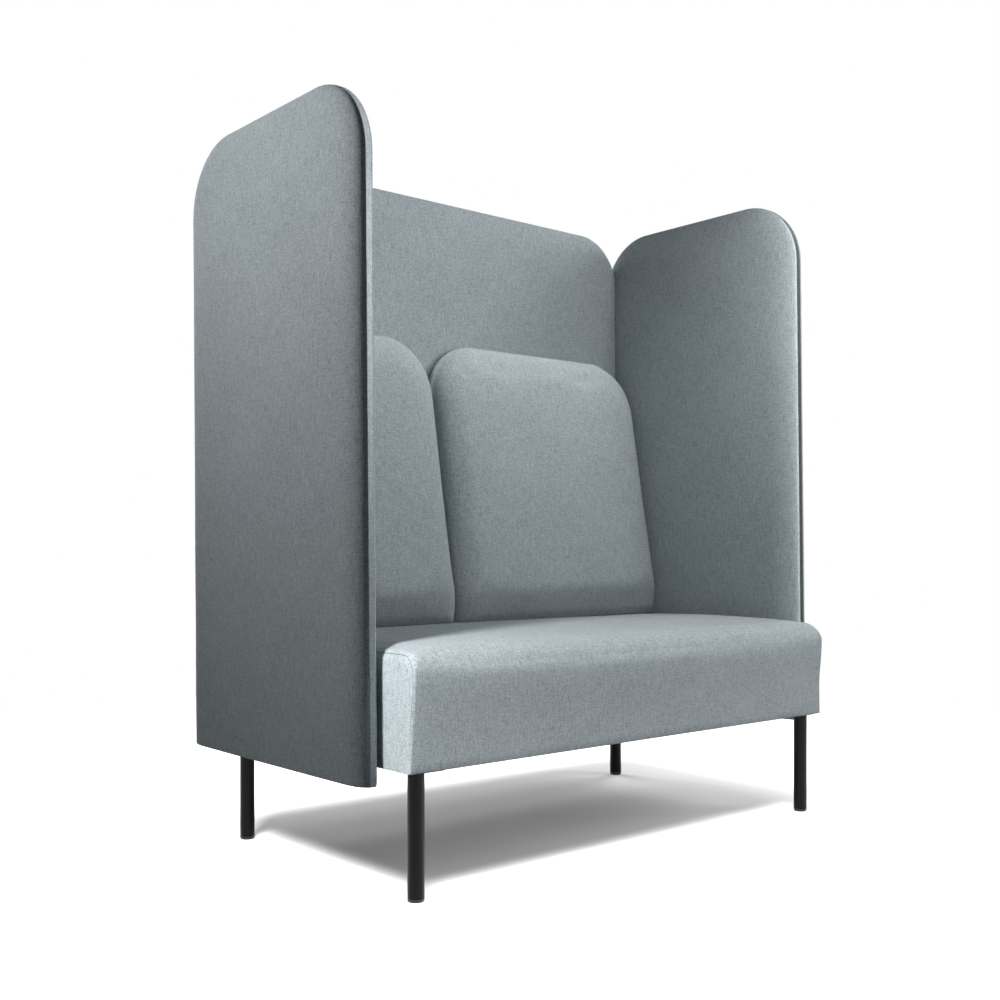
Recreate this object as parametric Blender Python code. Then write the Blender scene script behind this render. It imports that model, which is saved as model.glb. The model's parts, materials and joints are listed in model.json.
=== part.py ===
"""High-back sofa: three padded screen panels round a box seat on four tubular legs.

Metres, +Z up. The seat faces -Y, and the origin is on the floor under the middle of the sofa.
"""
import math

import bmesh
import bpy
from mathutils import Matrix, Vector

# Overall size
WIDTH = 1.286
DEPTH = 0.722
HEIGHT = 1.446

# Gap left between pieces that touch, and how far a cutter runs past a face
CLEAR = 0.0003
CUT_PAST = 0.005

# Screen panels: a board between two pads, with a sewn band round the edge
PANEL_DEPTH = 0.631
PANEL_BOTTOM = 0.1995
SIDE_CORNER_RADIUS = 0.150
BACK_CORNER_RADIUS = 0.130
LEAN = 0.0125
LEAN_LEVEL = 0.800
BOARD = 0.012
OUTER_PAD = 0.021
INNER_PAD = 0.014
BACK_INNER_PAD = 0.018
OUTER_PAD_ROUND = 0.045
INNER_PAD_ROUND = 0.070
OUTER_PAD_SQUARENESS = 3.0
INNER_PAD_SQUARENESS = 2.0
BAND = 0.003
BAND_CROWN = 0.001

# Box seat
SEAT_SIDE_GAP = 0.0086
SEAT_BACK_GAP = 0.0035
SEAT_BOTTOM = 0.229
SEAT_HEIGHT = 0.4365
SEAT_CROWN = 0.0075
SEAT_NOSE = 0.0075
SEAT_NOSE_RADIUS = 0.040
SEAT_FRONT_CROWN = 0.003
SEAT_END_ROUND = 0.070
SEAT_END_DROP = 0.0085
SEAT_END_DRAW = 0.003
SEAT_END_BORDER = 0.028
SEAT_REAR_ROUND = 0.015
SKIRT = 0.012

# Seat frame
RAIL = 0.030
RAIL_HEIGHT = 0.100
RAIL_EDGE = 0.002
CENTRE_RAIL_HEIGHT = 0.070
BLOCK = 0.075
BLOCK_NOSE = 0.020
BLOCK_HEIGHT = 0.045
STRAP_COUNT = 4
STRAP_WIDTH = 0.080
STRAP = 0.002
STRAP_LAP = 0.024
DUST_COVER = 0.001

# Back cushions, with the board behind each
CUSHION_SPLIT = -0.068
CUSHION_SPLIT_GAP = 0.002
CUSHION_SIDE_GAP = 0.001
CUSHION_HEIGHT = 0.658
CUSHION_CORNER = 0.130
CUSHION_FOOT_DEPTH = 0.1435
CUSHION_TOP_DEPTH = 0.045
CUSHION_BULGE_RISE = 0.075
CUSHION_TUCK = 0.010
CUSHION_EDGE_ROUND = 0.045
CUSHION_CROWN = 0.010
CUSHION_CORE = 0.020
CUSHION_SIDE_DRAW = 0.003
CUSHION_BOARD = 0.009
CUSHION_BOARD_INSET = 0.008

# Legs
LEG_DIAMETER = 0.030
LEG_WALL = 0.002
LEG_FROM_SIDE = 0.0346
LEG_FROM_FRONT = 0.028
LEG_FROM_REAR = 0.0208
PLATE = 0.005
PLATE_SIZE = 0.078
PLATE_CORNER = 0.008
PLATE_SIDE_MARGIN = 0.0076
PLATE_FRONT_MARGIN = 0.006
PLATE_REAR_MARGIN = 0.004
PLATE_HOLE = 0.0065
PLATE_HOLE_INSET = 0.012
GLIDE_HEIGHT = 0.006
GLIDE_ROUND = 0.003
GLIDE_PLUG = 0.020
GLIDE_PLUG_TIP = 0.0015

# Fixings
SPACER_DIAMETER = 0.028
BOLT_DIAMETER = 0.008
BOLT_HEAD_DIAMETER = 0.014
BOLT_HEAD = 0.008
BOLT_SOCKET = 0.007
BOLT_SOCKET_DEPTH = 0.004
BOLT_BITE = 0.010
SIDE_BOLT_FROM_BLOCK = 0.030
BACK_BOLT_SPAN = 0.600
DOWEL_DIAMETER = 0.006
DOWEL_BITE = 0.009
DOWEL_LENGTH = 0.060
DOWEL_FROM_TOP = 0.350
DOWEL_FROM_BOTTOM = 0.400

# Facets
ARC_STEPS = 8
PAD_STEPS = 6
CUSHION_RUNS = 5
CUSHION_EDGE_STEPS = 5
CUSHION_CROWN_STEPS = 4
SEAT_STEPS = 6
ROUND_SIDES = 32
SMALL_SIDES = 12
SMOOTH_ANGLE = math.radians(40)

# Colour, metallic value and roughness of each finish
FINISHES = {
    "fabric": ((0.30, 0.33, 0.35), 0.0, 0.9),
    "black_steel": ((0.012, 0.012, 0.013), 0.3, 0.45),
    "black_plastic": ((0.015, 0.015, 0.016), 0.0, 0.55),
    "plywood": ((0.52, 0.36, 0.20), 0.0, 0.6),
    "timber": ((0.58, 0.42, 0.25), 0.0, 0.65),
    "webbing": ((0.06, 0.06, 0.065), 0.0, 0.85),
    "dust_cloth": ((0.02, 0.02, 0.022), 0.0, 0.95),
    "zinc_steel": ((0.55, 0.55, 0.56), 1.0, 0.35),
}

SIDES = (("left", -1), ("right", 1))
ENDS = (("front", -1), ("rear", 1))


def lean(y, z):
    """Carries a point of an upright panel back with the panels' lean."""
    return y + LEAN * (z - LEAN_LEVEL)


# Panel planes, at the level where the lean is zero
PANEL_TOP = HEIGHT - BAND_CROWN
BOARD_HALF = BOARD / 2
PAD_SEAT = BOARD_HALF + CLEAR
SIDE_MID = WIDTH / 2 - OUTER_PAD - PAD_SEAT
SIDE_BOARD_FACE = SIDE_MID - BOARD_HALF
SIDE_FACE = SIDE_MID - PAD_SEAT - INNER_PAD
PANEL_REAR = DEPTH / 2 - LEAN * (HEIGHT - OUTER_PAD_ROUND - LEAN_LEVEL)
PANEL_MID = PANEL_REAR - PANEL_DEPTH / 2
BACK_MID = PANEL_REAR - OUTER_PAD - PAD_SEAT
BACK_BOARD_FACE = BACK_MID - BOARD_HALF
BACK_FACE = BACK_MID - PAD_SEAT - BACK_INNER_PAD
BACK_WIDTH = 2 * (SIDE_BOARD_FACE - CLEAR - BAND_CROWN)

# Seat and frame planes
SEAT_HALF = SIDE_FACE - SEAT_SIDE_GAP
SEAT_REAR = lean(BACK_FACE, SEAT_BOTTOM) - SEAT_BACK_GAP
SEAT_FRONT = -DEPTH / 2 + SEAT_NOSE + SEAT_FRONT_CROWN
CAVITY_HALF = SEAT_HALF - SKIRT
CAVITY_FRONT = SEAT_FRONT + SKIRT
CAVITY_REAR = SEAT_REAR - SKIRT
FRAME_HALF = CAVITY_HALF - CLEAR
FRAME_FRONT = CAVITY_FRONT + CLEAR
FRAME_REAR = CAVITY_REAR - CLEAR
INNER_HALF = FRAME_HALF - RAIL
INNER_FRONT = FRAME_FRONT + RAIL
INNER_REAR = FRAME_REAR - RAIL
DUST_TOP = SEAT_BOTTOM + DUST_COVER
RAIL_BOTTOM = DUST_TOP + CLEAR
RAIL_TOP = RAIL_BOTTOM + RAIL_HEIGHT
STRAP_BOTTOM = RAIL_TOP + CLEAR
STRAP_TOP = STRAP_BOTTOM + STRAP
CAVITY_TOP = STRAP_TOP + CLEAR

# Back cushion planes
CUSHION_BOTTOM = SEAT_HEIGHT + CLEAR
CUSHION_TOP = CUSHION_BOTTOM + CUSHION_HEIGHT
CUSHION_BULGE = CUSHION_BOTTOM + CUSHION_BULGE_RISE
CUSHION_BOARD_REAR = BACK_FACE - CLEAR
CUSHION_REAR = CUSHION_BOARD_REAR - CUSHION_BOARD - CLEAR
CUSHION_SIDE = SIDE_FACE - CUSHION_SIDE_GAP
CUSHION_FOOT = lean(CUSHION_REAR, CUSHION_BULGE) - CUSHION_FOOT_DEPTH - CUSHION_CROWN

# Leg and fixing places
PLATE_TOP = SEAT_BOTTOM - CLEAR
PLATE_BOTTOM = PLATE_TOP - PLATE
LEG_RADIUS = LEG_DIAMETER / 2
LEG_BORE = LEG_RADIUS - LEG_WALL
LEG_ACROSS = SEAT_HALF - LEG_FROM_SIDE
LEG_ALONG = {"front": SEAT_FRONT + LEG_FROM_FRONT, "rear": SEAT_REAR - LEG_FROM_REAR}
PLATE_EDGE = {"front": SEAT_FRONT + PLATE_FRONT_MARGIN, "rear": SEAT_REAR - PLATE_REAR_MARGIN}
BOLT_HOLE = BOLT_DIAMETER + 2 * CLEAR
SPACER_HOLE = SPACER_DIAMETER + 2 * CLEAR
DOWEL_HOLE = DOWEL_DIAMETER + 2 * CLEAR
BOLT_LEVEL = RAIL_BOTTOM + RAIL_HEIGHT / 2
SIDE_BOLT_INSET = CLEAR + BLOCK + SIDE_BOLT_FROM_BLOCK
SIDE_BOLT_ALONG = {"front": INNER_FRONT + SIDE_BOLT_INSET, "rear": INNER_REAR - SIDE_BOLT_INSET}
BACK_BOLT_ACROSS = BACK_BOLT_SPAN / 2
BACK_BOARD_AT_BOLT = lean(BACK_BOARD_FACE, BOLT_LEVEL)
BACK_SPACER_END = lean(BACK_BOARD_FACE, BOLT_LEVEL - SPACER_DIAMETER / 2) - CLEAR
DOWEL_LEVELS = {"lower": PANEL_BOTTOM + DOWEL_FROM_BOTTOM, "upper": HEIGHT - DOWEL_FROM_TOP}
DOWEL_OUTER = SIDE_BOARD_FACE + DOWEL_BITE
DOWEL_INNER = DOWEL_OUTER - DOWEL_LENGTH


def clear_scene():
    for thing in list(bpy.data.objects):
        bpy.data.objects.remove(thing, do_unlink=True)


def make_material(name, finish):
    colour, metallic, roughness = FINISHES[finish]
    material = bpy.data.materials.new(name)
    material.use_nodes = True
    shader = material.node_tree.nodes["Principled BSDF"]
    shader.inputs["Base Color"].default_value = (*colour, 1.0)
    shader.inputs["Metallic"].default_value = metallic
    shader.inputs["Roughness"].default_value = roughness
    return material


def add_object(name, shape, place=None):
    """Puts a bmesh into the scene as one object, under the sofa's empty."""
    bmesh.ops.recalc_face_normals(shape, faces=shape.faces)
    mesh = bpy.data.meshes.new(name)
    shape.to_mesh(mesh)
    shape.free()
    thing = bpy.data.objects.new(name, mesh)
    bpy.context.scene.collection.objects.link(thing)
    thing.parent = sofa
    if place is not None:
        thing.matrix_local = place
    return thing


def add_piece(name, shape, finish, place=None):
    """Adds one piece of the sofa, shaded smooth over its rounds."""
    piece = add_object(name, shape, place)
    piece.data.shade_smooth()
    piece.data.set_sharp_from_angle(angle=SMOOTH_ANGLE)
    piece.data.materials.append(make_material(name, finish))
    return piece


def cut(piece, purpose, shape):
    """Cuts a shape out of a piece with a Boolean."""
    cutter = add_object(f"{piece.name}_{purpose}", shape)
    cutter.hide_render = True
    cutter.display_type = "WIRE"
    boolean = piece.modifiers.new(purpose, "BOOLEAN")
    boolean.operation = "DIFFERENCE"
    boolean.solver = "EXACT"
    boolean.object = cutter


def skin(rings, closed=False):
    """A solid through rings of points: capped at both ends, or joined end to end when closed."""
    shape = bmesh.new()
    loops = [[shape.verts.new(point) for point in ring] for ring in rings]
    pairs = list(zip(loops, loops[1:]))
    if closed:
        pairs.append((loops[-1], loops[0]))
    else:
        shape.faces.new(loops[0])
        shape.faces.new(loops[-1])
    for near, far in pairs:
        for k in range(len(near)):
            after = (k + 1) % len(near)
            shape.faces.new((near[k], near[after], far[after], far[k]))
    return shape


def box(low, high):
    """A box between two corners."""
    low, high = Vector(low), Vector(high)
    shape = bmesh.new()
    bmesh.ops.create_cube(shape, size=1.0)
    bmesh.ops.scale(shape, vec=high - low, verts=shape.verts)
    bmesh.ops.translate(shape, vec=(low + high) / 2, verts=shape.verts)
    return shape


def prism(outline, bottom, top):
    """An outline in plan, raised from one level to another."""
    return skin([[Vector((x, y, z)) for x, y in outline] for z in (bottom, top)])


def turned(profile, sides, closed=False):
    """A profile of (radius, height) points turned about Z."""
    angles = [2 * math.pi * k / sides for k in range(sides)]
    rings = [[Vector((r * math.cos(a), r * math.sin(a), z)) for a in angles] for r, z in profile]
    return skin(rings, closed)


def facing(point, direction):
    """A placement at a point, with +Z along a direction."""
    return Matrix.Translation(point) @ Vector(direction).to_track_quat("Z", "Y").to_matrix().to_4x4()


def pins(ends, diameter):
    """Round pins between pairs of points, in one shape."""
    shape = bmesh.new()
    for start, end in ends:
        start, end = Vector(start), Vector(end)
        bmesh.ops.create_cone(shape, cap_ends=True, segments=SMALL_SIDES, radius1=diameter / 2,
                              radius2=diameter / 2, depth=(end - start).length,
                              matrix=facing((start + end) / 2, end - start))
    return shape


def arch(width, bottom, top, radius, inset=0.0, runs=1):
    """Outline (across, up) with round top corners and a square bottom, drawn in by inset except below.

    It starts at the bottom of the near side. Each straight stretch is cut into runs lengths.
    """
    half = width / 2 - inset
    bend = max(radius - inset, CLEAR)
    corner_across = half - bend
    corner_up = top - inset - bend
    shares = [k / runs for k in range(runs)]
    points = [(-half, bottom + share * (corner_up - bottom)) for share in shares]
    for side, start in ((-1, math.pi), (1, math.pi / 2)):
        for k in range(ARC_STEPS + 1):
            angle = start - math.pi / 2 * k / ARC_STEPS
            points.append((side * corner_across + bend * math.cos(angle),
                           corner_up + bend * math.sin(angle)))
        if side < 0:
            points += [(corner_across * (2 * share - 1), top - inset) for share in shares[1:]]
    points += [(half, corner_up + share * (bottom - corner_up)) for share in shares[1:]]
    points += [(half * (1 - 2 * share), bottom) for share in shares]
    return points


def pad_profile(thickness, reach, squareness):
    """(inset, height) steps of a pad from its edge seam to its full thickness, on a superellipse."""
    power = 2 / squareness
    steps = []
    for k in range(PAD_STEPS + 1):
        angle = math.pi / 2 * k / PAD_STEPS
        steps.append((reach * (1 - abs(math.cos(angle)) ** power), thickness * math.sin(angle) ** power))
    return steps


def band_section():
    """(inset, out) loop of the edge band: two shallow crowned strips with the closing seam between them."""
    strips = [(0.0, -1.0), (-BAND_CROWN, -0.75), (-BAND_CROWN, -0.25), (0.0, 0.0),
              (-BAND_CROWN, 0.25), (-BAND_CROWN, 0.75), (0.0, 1.0)]
    outside = [(inset, share * BOARD_HALF) for inset, share in strips]
    return outside + [(BAND, BOARD_HALF), (BAND, -BOARD_HALF)]


def side_place(sign):
    """Maps (across, up, out) of a side panel to a point. Out is away from the sitter."""
    return lambda across, up, out: Vector((sign * (SIDE_MID + out), lean(PANEL_MID + across, up), up))


def back_place(across, up, out):
    return Vector((across, lean(BACK_MID + out, up), up))


def add_panel(name, width, radius, inner_pad, place):
    """Adds a panel's board, pads and edge band, and returns them by layer."""
    def ring(inset, out):
        return [place(across, up, out) for across, up in arch(width, PANEL_BOTTOM, PANEL_TOP, radius, inset)]

    board_edge = BAND + CLEAR
    board = skin([ring(board_edge, -BOARD_HALF), ring(board_edge, BOARD_HALF)])
    layers = {"board": add_piece(f"{name}_panel_board", board, "plywood")}
    outer = pad_profile(OUTER_PAD, OUTER_PAD_ROUND, OUTER_PAD_SQUARENESS)
    inner = pad_profile(inner_pad, INNER_PAD_ROUND, INNER_PAD_SQUARENESS)
    for layer, profile, way in (("outer_pad", outer, 1), ("inner_pad", inner, -1)):
        rings = [ring(inset, way * (PAD_SEAT + height)) for inset, height in profile]
        layers[layer] = add_piece(f"{name}_panel_{layer}", skin(rings), "fabric")
    rows = [ring(inset, out) for inset, out in band_section()]
    layers["edge_band"] = add_piece(f"{name}_panel_edge_band", skin(list(zip(*rows))), "fabric")
    return layers


def back_envelope():
    """The room that the back panel takes between the side panels."""
    outline = arch(BACK_WIDTH, PANEL_BOTTOM - CUT_PAST, PANEL_TOP, BACK_CORNER_RADIUS, -BAND_CROWN - CLEAR)
    front = BACK_FACE - BACK_MID - CLEAR
    rear = PAD_SEAT + OUTER_PAD + CUT_PAST
    return skin([[back_place(across, up, out) for across, up in outline] for out in (front, rear)])


def side_points(sign, start, end):
    """Start and end of each side bolt's run on one side, at two distances from the middle."""
    return [((sign * start, y, BOLT_LEVEL), (sign * end, y, BOLT_LEVEL)) for y in SIDE_BOLT_ALONG.values()]


def back_points(start, end):
    """Start and end of each back bolt's run, at two distances along the sofa."""
    places = [sign * BACK_BOLT_ACROSS for _, sign in SIDES]
    return [((x, start, BOLT_LEVEL), (x, end, BOLT_LEVEL)) for x in places]


def dowel_points(sign):
    """Start and end of the holes for the dowels of one corner, a clearance longer than the dowels."""
    inner, outer = sign * (DOWEL_INNER - CLEAR), sign * (DOWEL_OUTER + CLEAR)
    return [((inner, lean(BACK_MID, z), z), (outer, lean(BACK_MID, z), z)) for z in DOWEL_LEVELS.values()]


def add_side_panels():
    for name, sign in SIDES:
        layers = add_panel(name, PANEL_DEPTH, SIDE_CORNER_RADIUS, INNER_PAD, side_place(sign))
        board_end = SIDE_BOARD_FACE + BOLT_BITE + CLEAR
        cut(layers["inner_pad"], "back_room", back_envelope())
        cut(layers["inner_pad"], "spacer_holes",
            pins(side_points(sign, SIDE_FACE - CUT_PAST, SIDE_BOARD_FACE + CUT_PAST), SPACER_HOLE))
        cut(layers["board"], "bolt_holes",
            pins(side_points(sign, SIDE_BOARD_FACE - CUT_PAST, board_end), BOLT_HOLE))
        cut(layers["board"], "dowel_holes", pins(dowel_points(sign), DOWEL_HOLE))


def add_back_panel():
    layers = add_panel("back", BACK_WIDTH, BACK_CORNER_RADIUS, BACK_INNER_PAD, back_place)
    board_end = BACK_BOARD_AT_BOLT + BOLT_BITE + CLEAR
    pad_front = lean(BACK_FACE, BOLT_LEVEL) - CUT_PAST
    cut(layers["inner_pad"], "spacer_holes",
        pins(back_points(pad_front, BACK_BOARD_AT_BOLT + CUT_PAST), SPACER_HOLE))
    cut(layers["board"], "bolt_holes",
        pins(back_points(BACK_BOARD_AT_BOLT - CUT_PAST, board_end), BOLT_HOLE))
    dowels = dowel_points(-1) + dowel_points(1)
    for layer in ("board", "edge_band"):
        cut(layers[layer], "dowel_holes", pins(dowels, DOWEL_HOLE))


def seat_section(x):
    """Side outline (y, z) of the seat at one place across it, from the front hem over the top."""
    reach = max(0.0, abs(x) - SEAT_HALF + SEAT_END_ROUND) / SEAT_END_ROUND
    drop = SEAT_END_DROP * (1 - math.sqrt(max(0.0, 1 - reach ** 2)))
    crown = SEAT_CROWN * (1 - reach ** 2)
    nose = SEAT_FRONT - SEAT_NOSE - SEAT_FRONT_CROWN * (1 - (x / SEAT_HALF) ** 2)
    nose_level = SEAT_HEIGHT - SEAT_NOSE_RADIUS
    top_front = nose + SEAT_NOSE_RADIUS
    points = []
    for k in range(SEAT_STEPS):
        share = k / SEAT_STEPS
        ease = share ** 2 * (3 - 2 * share)
        points.append((SEAT_FRONT + ease * (nose - SEAT_FRONT),
                       SEAT_BOTTOM + share * (nose_level - SEAT_BOTTOM)))
    for k in range(SEAT_STEPS):
        angle = math.pi - math.pi / 2 * k / SEAT_STEPS
        points.append((top_front + SEAT_NOSE_RADIUS * math.cos(angle),
                       nose_level + SEAT_NOSE_RADIUS * math.sin(angle)))
    for k in range(SEAT_STEPS + 1):
        share = k / SEAT_STEPS
        points.append((top_front + share * (CUSHION_FOOT - top_front),
                       SEAT_HEIGHT + crown * math.sin(math.pi * share) ** 2))
    rear_steps = SEAT_STEPS // 2
    for k in range(rear_steps + 1):
        angle = math.pi / 2 - math.pi / 2 * k / rear_steps
        points.append((SEAT_REAR - SEAT_REAR_ROUND * (1 - math.cos(angle)),
                       SEAT_HEIGHT - SEAT_REAR_ROUND * (1 - math.sin(angle))))
    points.append((SEAT_REAR, SEAT_BOTTOM))
    thickness = SEAT_HEIGHT - SEAT_BOTTOM
    return [(y, z - drop * ((z - SEAT_BOTTOM) / thickness) ** 2) for y, z in points]


def seat_end(x):
    """The middle of a seat's end, drawn in inside its border."""
    section = seat_section(x)
    middle_y = (SEAT_FRONT + SEAT_REAR) / 2
    middle_z = (SEAT_BOTTOM + SEAT_HEIGHT) / 2
    across = 1 - 2 * SEAT_END_BORDER / (SEAT_REAR - SEAT_FRONT)
    up = 1 - 2 * SEAT_END_BORDER / (SEAT_HEIGHT - SEAT_BOTTOM)
    drawn_in = x - math.copysign(SEAT_END_DRAW, x)
    return [Vector((drawn_in, middle_y + across * (y - middle_y), middle_z + up * (z - middle_z)))
            for y, z in section]


def add_seat_cushion():
    level_half = SEAT_HALF - SEAT_END_ROUND
    round_places = [level_half + SEAT_END_ROUND * math.sin(math.pi / 2 * k / SEAT_STEPS)
                    for k in range(SEAT_STEPS + 1)]
    places = [-x for x in reversed(round_places)] + [-level_half / 2, 0.0, level_half / 2] + round_places
    sections = [[Vector((x, y, z)) for y, z in seat_section(x)] for x in places]
    rings = [seat_end(-SEAT_HALF)] + sections + [seat_end(SEAT_HALF)]
    seat = add_piece("seat_cushion", skin(rings), "fabric")
    cut(seat, "frame_room", box((-CAVITY_HALF, CAVITY_FRONT, SEAT_BOTTOM - CUT_PAST),
                                (CAVITY_HALF, CAVITY_REAR, CAVITY_TOP)))
    for name, sign in SIDES:
        cut(seat, f"{name}_spacer_holes",
            pins(side_points(sign, CAVITY_HALF - CUT_PAST, SEAT_HALF + CUT_PAST), SPACER_HOLE))
    cut(seat, "rear_spacer_holes",
        pins(back_points(CAVITY_REAR - CUT_PAST, SEAT_REAR + CUT_PAST), SPACER_HOLE))


def add_rail(name, low, high):
    """Adds a planed timber rail with eased edges."""
    shape = box(low, high)
    bmesh.ops.bevel(shape, geom=shape.edges[:], offset=RAIL_EDGE, segments=1, affect="EDGES")
    return add_piece(f"rail_{name}", shape, "timber")


def add_seat_frame():
    add_rail("front", (-FRAME_HALF, FRAME_FRONT, RAIL_BOTTOM), (FRAME_HALF, INNER_FRONT, RAIL_TOP))
    rear = add_rail("rear", (-FRAME_HALF, INNER_REAR, RAIL_BOTTOM), (FRAME_HALF, FRAME_REAR, RAIL_TOP))
    cut(rear, "bolt_holes", pins(back_points(INNER_REAR - CUT_PAST, FRAME_REAR + CUT_PAST), BOLT_HOLE))
    for name, sign in SIDES:
        across = sorted((sign * INNER_HALF, sign * FRAME_HALF))
        rail = add_rail(name, (across[0], INNER_FRONT + CLEAR, RAIL_BOTTOM),
                        (across[1], INNER_REAR - CLEAR, RAIL_TOP))
        cut(rail, "bolt_holes",
            pins(side_points(sign, INNER_HALF - CUT_PAST, FRAME_HALF + CUT_PAST), BOLT_HOLE))
    add_rail("centre", (-RAIL / 2, INNER_FRONT + CLEAR, RAIL_BOTTOM),
             (RAIL / 2, INNER_REAR - CLEAR, RAIL_BOTTOM + CENTRE_RAIL_HEIGHT))
    corners = {"front": (INNER_FRONT + CLEAR, 1), "rear": (INNER_REAR - CLEAR, -1)}
    for end, (corner_y, inward) in corners.items():
        for name, sign in SIDES:
            steps = [(0, 0), (BLOCK, 0), (BLOCK, BLOCK_NOSE), (BLOCK_NOSE, BLOCK), (0, BLOCK)]
            outline = [(sign * (INNER_HALF - CLEAR - x), corner_y + inward * y) for x, y in steps]
            add_piece(f"corner_block_{end}_{name}",
                      prism(outline, RAIL_BOTTOM, RAIL_BOTTOM + BLOCK_HEIGHT), "timber")


def add_straps():
    pitch = 2 * FRAME_HALF / STRAP_COUNT
    front = INNER_FRONT - STRAP_LAP
    rear = INNER_REAR + STRAP_LAP
    for k in range(STRAP_COUNT):
        middle = -FRAME_HALF + pitch * (k + 0.5)
        strap = box((middle - STRAP_WIDTH / 2, front, STRAP_BOTTOM),
                    (middle + STRAP_WIDTH / 2, rear, STRAP_TOP))
        add_piece(f"seat_strap_{k + 1}", strap, "webbing")


def add_dust_cover():
    sheet = box((-FRAME_HALF, FRAME_FRONT, SEAT_BOTTOM), (FRAME_HALF, FRAME_REAR, DUST_TOP))
    add_piece("dust_cover", sheet, "dust_cloth")


def cushion_depth(level):
    """Depth of a back cushion at a level: fullest a little above the seat, thinner towards the top."""
    if level < CUSHION_BULGE:
        return CUSHION_FOOT_DEPTH - CUSHION_TUCK * ((CUSHION_BULGE - level) / CUSHION_BULGE_RISE) ** 2
    share = (level - CUSHION_BULGE) / (CUSHION_TOP - CUSHION_BULGE)
    return CUSHION_FOOT_DEPTH + share * (CUSHION_TOP_DEPTH - CUSHION_FOOT_DEPTH)


def cushion_steps(width):
    """(inset, share of the edge round, share of the crown) from a cushion's front edge to its middle."""
    steps = []
    for k in range(CUSHION_EDGE_STEPS + 1):
        angle = math.pi / 2 * k / CUSHION_EDGE_STEPS
        steps.append((CUSHION_EDGE_ROUND * (1 - math.cos(angle)), math.sin(angle), 0.0))
    deepest = min(width, CUSHION_HEIGHT) / 2 - CUSHION_CORE
    for k in range(1, CUSHION_CROWN_STEPS + 1):
        share = k / CUSHION_CROWN_STEPS
        inset = CUSHION_EDGE_ROUND + share * (deepest - CUSHION_EDGE_ROUND)
        steps.append((inset, 1.0, math.sin(math.pi / 2 * share)))
    return steps


def add_back_cushion(name, left, right):
    """Adds one back cushion and the board behind it, between two places across the sofa."""
    width = right - left
    middle = (left + right) / 2

    def ring(inset, depth):
        points = []
        foot = CUSHION_BOTTOM + inset / 2
        for across, up in arch(width, foot, CUSHION_TOP, CUSHION_CORNER, inset, CUSHION_RUNS):
            rise = math.pi * (up - CUSHION_BOTTOM) / CUSHION_HEIGHT
            drawn = across * (1 - 2 * CUSHION_SIDE_DRAW / width * math.sin(rise))
            points.append(Vector((middle + drawn, lean(CUSHION_REAR, up) - depth(up), up)))
        return points

    def front(edge_share, crown_share):
        def depth(level):
            full = cushion_depth(level)
            edge = min(CUSHION_EDGE_ROUND, full - CLEAR)
            return full - edge * (1 - edge_share) + CUSHION_CROWN * crown_share
        return depth

    rings = [ring(0.0, lambda level: 0.0)]
    rings += [ring(inset, front(edge, crown)) for inset, edge, crown in cushion_steps(width)]
    add_piece(f"back_cushion_{name}", skin(rings), "fabric")

    board_foot = CUSHION_BOTTOM + CUSHION_BOARD_INSET
    outline = arch(width, board_foot, CUSHION_TOP, CUSHION_CORNER, CUSHION_BOARD_INSET)
    faces = (CUSHION_BOARD_REAR - CUSHION_BOARD, CUSHION_BOARD_REAR)
    board = skin([[Vector((middle + across, lean(y, up), up)) for across, up in outline] for y in faces])
    add_piece(f"back_cushion_board_{name}", board, "plywood")


def add_back_cushions():
    add_back_cushion("left", -CUSHION_SIDE, CUSHION_SPLIT - CUSHION_SPLIT_GAP / 2)
    add_back_cushion("right", CUSHION_SPLIT + CUSHION_SPLIT_GAP / 2, CUSHION_SIDE)


def leg_tube():
    low, high = GLIDE_HEIGHT + CLEAR, PLATE_BOTTOM - CLEAR
    profile = [(LEG_RADIUS, low), (LEG_RADIUS, high), (LEG_BORE, high), (LEG_BORE, low)]
    return turned(profile, ROUND_SIDES, closed=True)


def leg_plate(sign, end, outward):
    """A square plate with round corners, its outer corner near the seat's corner, and its screw holes."""
    middle_x = sign * (SEAT_HALF - PLATE_SIDE_MARGIN - PLATE_SIZE / 2)
    middle_y = PLATE_EDGE[end] - outward * PLATE_SIZE / 2
    half = PLATE_SIZE / 2 - PLATE_CORNER
    outline = []
    corners = ((1, 1), (-1, 1), (-1, -1), (1, -1))
    for quarter, (x, y) in enumerate(corners):
        for k in range(ARC_STEPS // 2 + 1):
            angle = math.pi / 2 * (quarter + k / (ARC_STEPS // 2))
            outline.append((middle_x + x * half + PLATE_CORNER * math.cos(angle),
                            middle_y + y * half + PLATE_CORNER * math.sin(angle)))
    reach = PLATE_SIZE / 2 - PLATE_HOLE_INSET
    holes = [(middle_x + x * reach, middle_y + y * reach) for x, y in corners]
    hole_ends = [((x, y, PLATE_BOTTOM - CUT_PAST), (x, y, PLATE_TOP + CUT_PAST)) for x, y in holes]
    return prism(outline, PLATE_BOTTOM, PLATE_TOP), pins(hole_ends, PLATE_HOLE)


def glide():
    """A plastic foot with a rounded rim and a plug that fills the tube's end."""
    plug = LEG_BORE - CLEAR
    plug_top = GLIDE_HEIGHT + GLIDE_PLUG
    rim = []
    for k in range(ARC_STEPS // 2 + 1):
        angle = math.pi / 2 * k / (ARC_STEPS // 2)
        rim.append((LEG_RADIUS - GLIDE_ROUND * (1 - math.sin(angle)), GLIDE_ROUND * (1 - math.cos(angle))))
    profile = rim + [(LEG_RADIUS, GLIDE_HEIGHT), (plug, GLIDE_HEIGHT), (plug, plug_top - GLIDE_PLUG_TIP),
                     (plug - GLIDE_PLUG_TIP, plug_top)]
    return turned(profile, ROUND_SIDES // 2)


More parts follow.
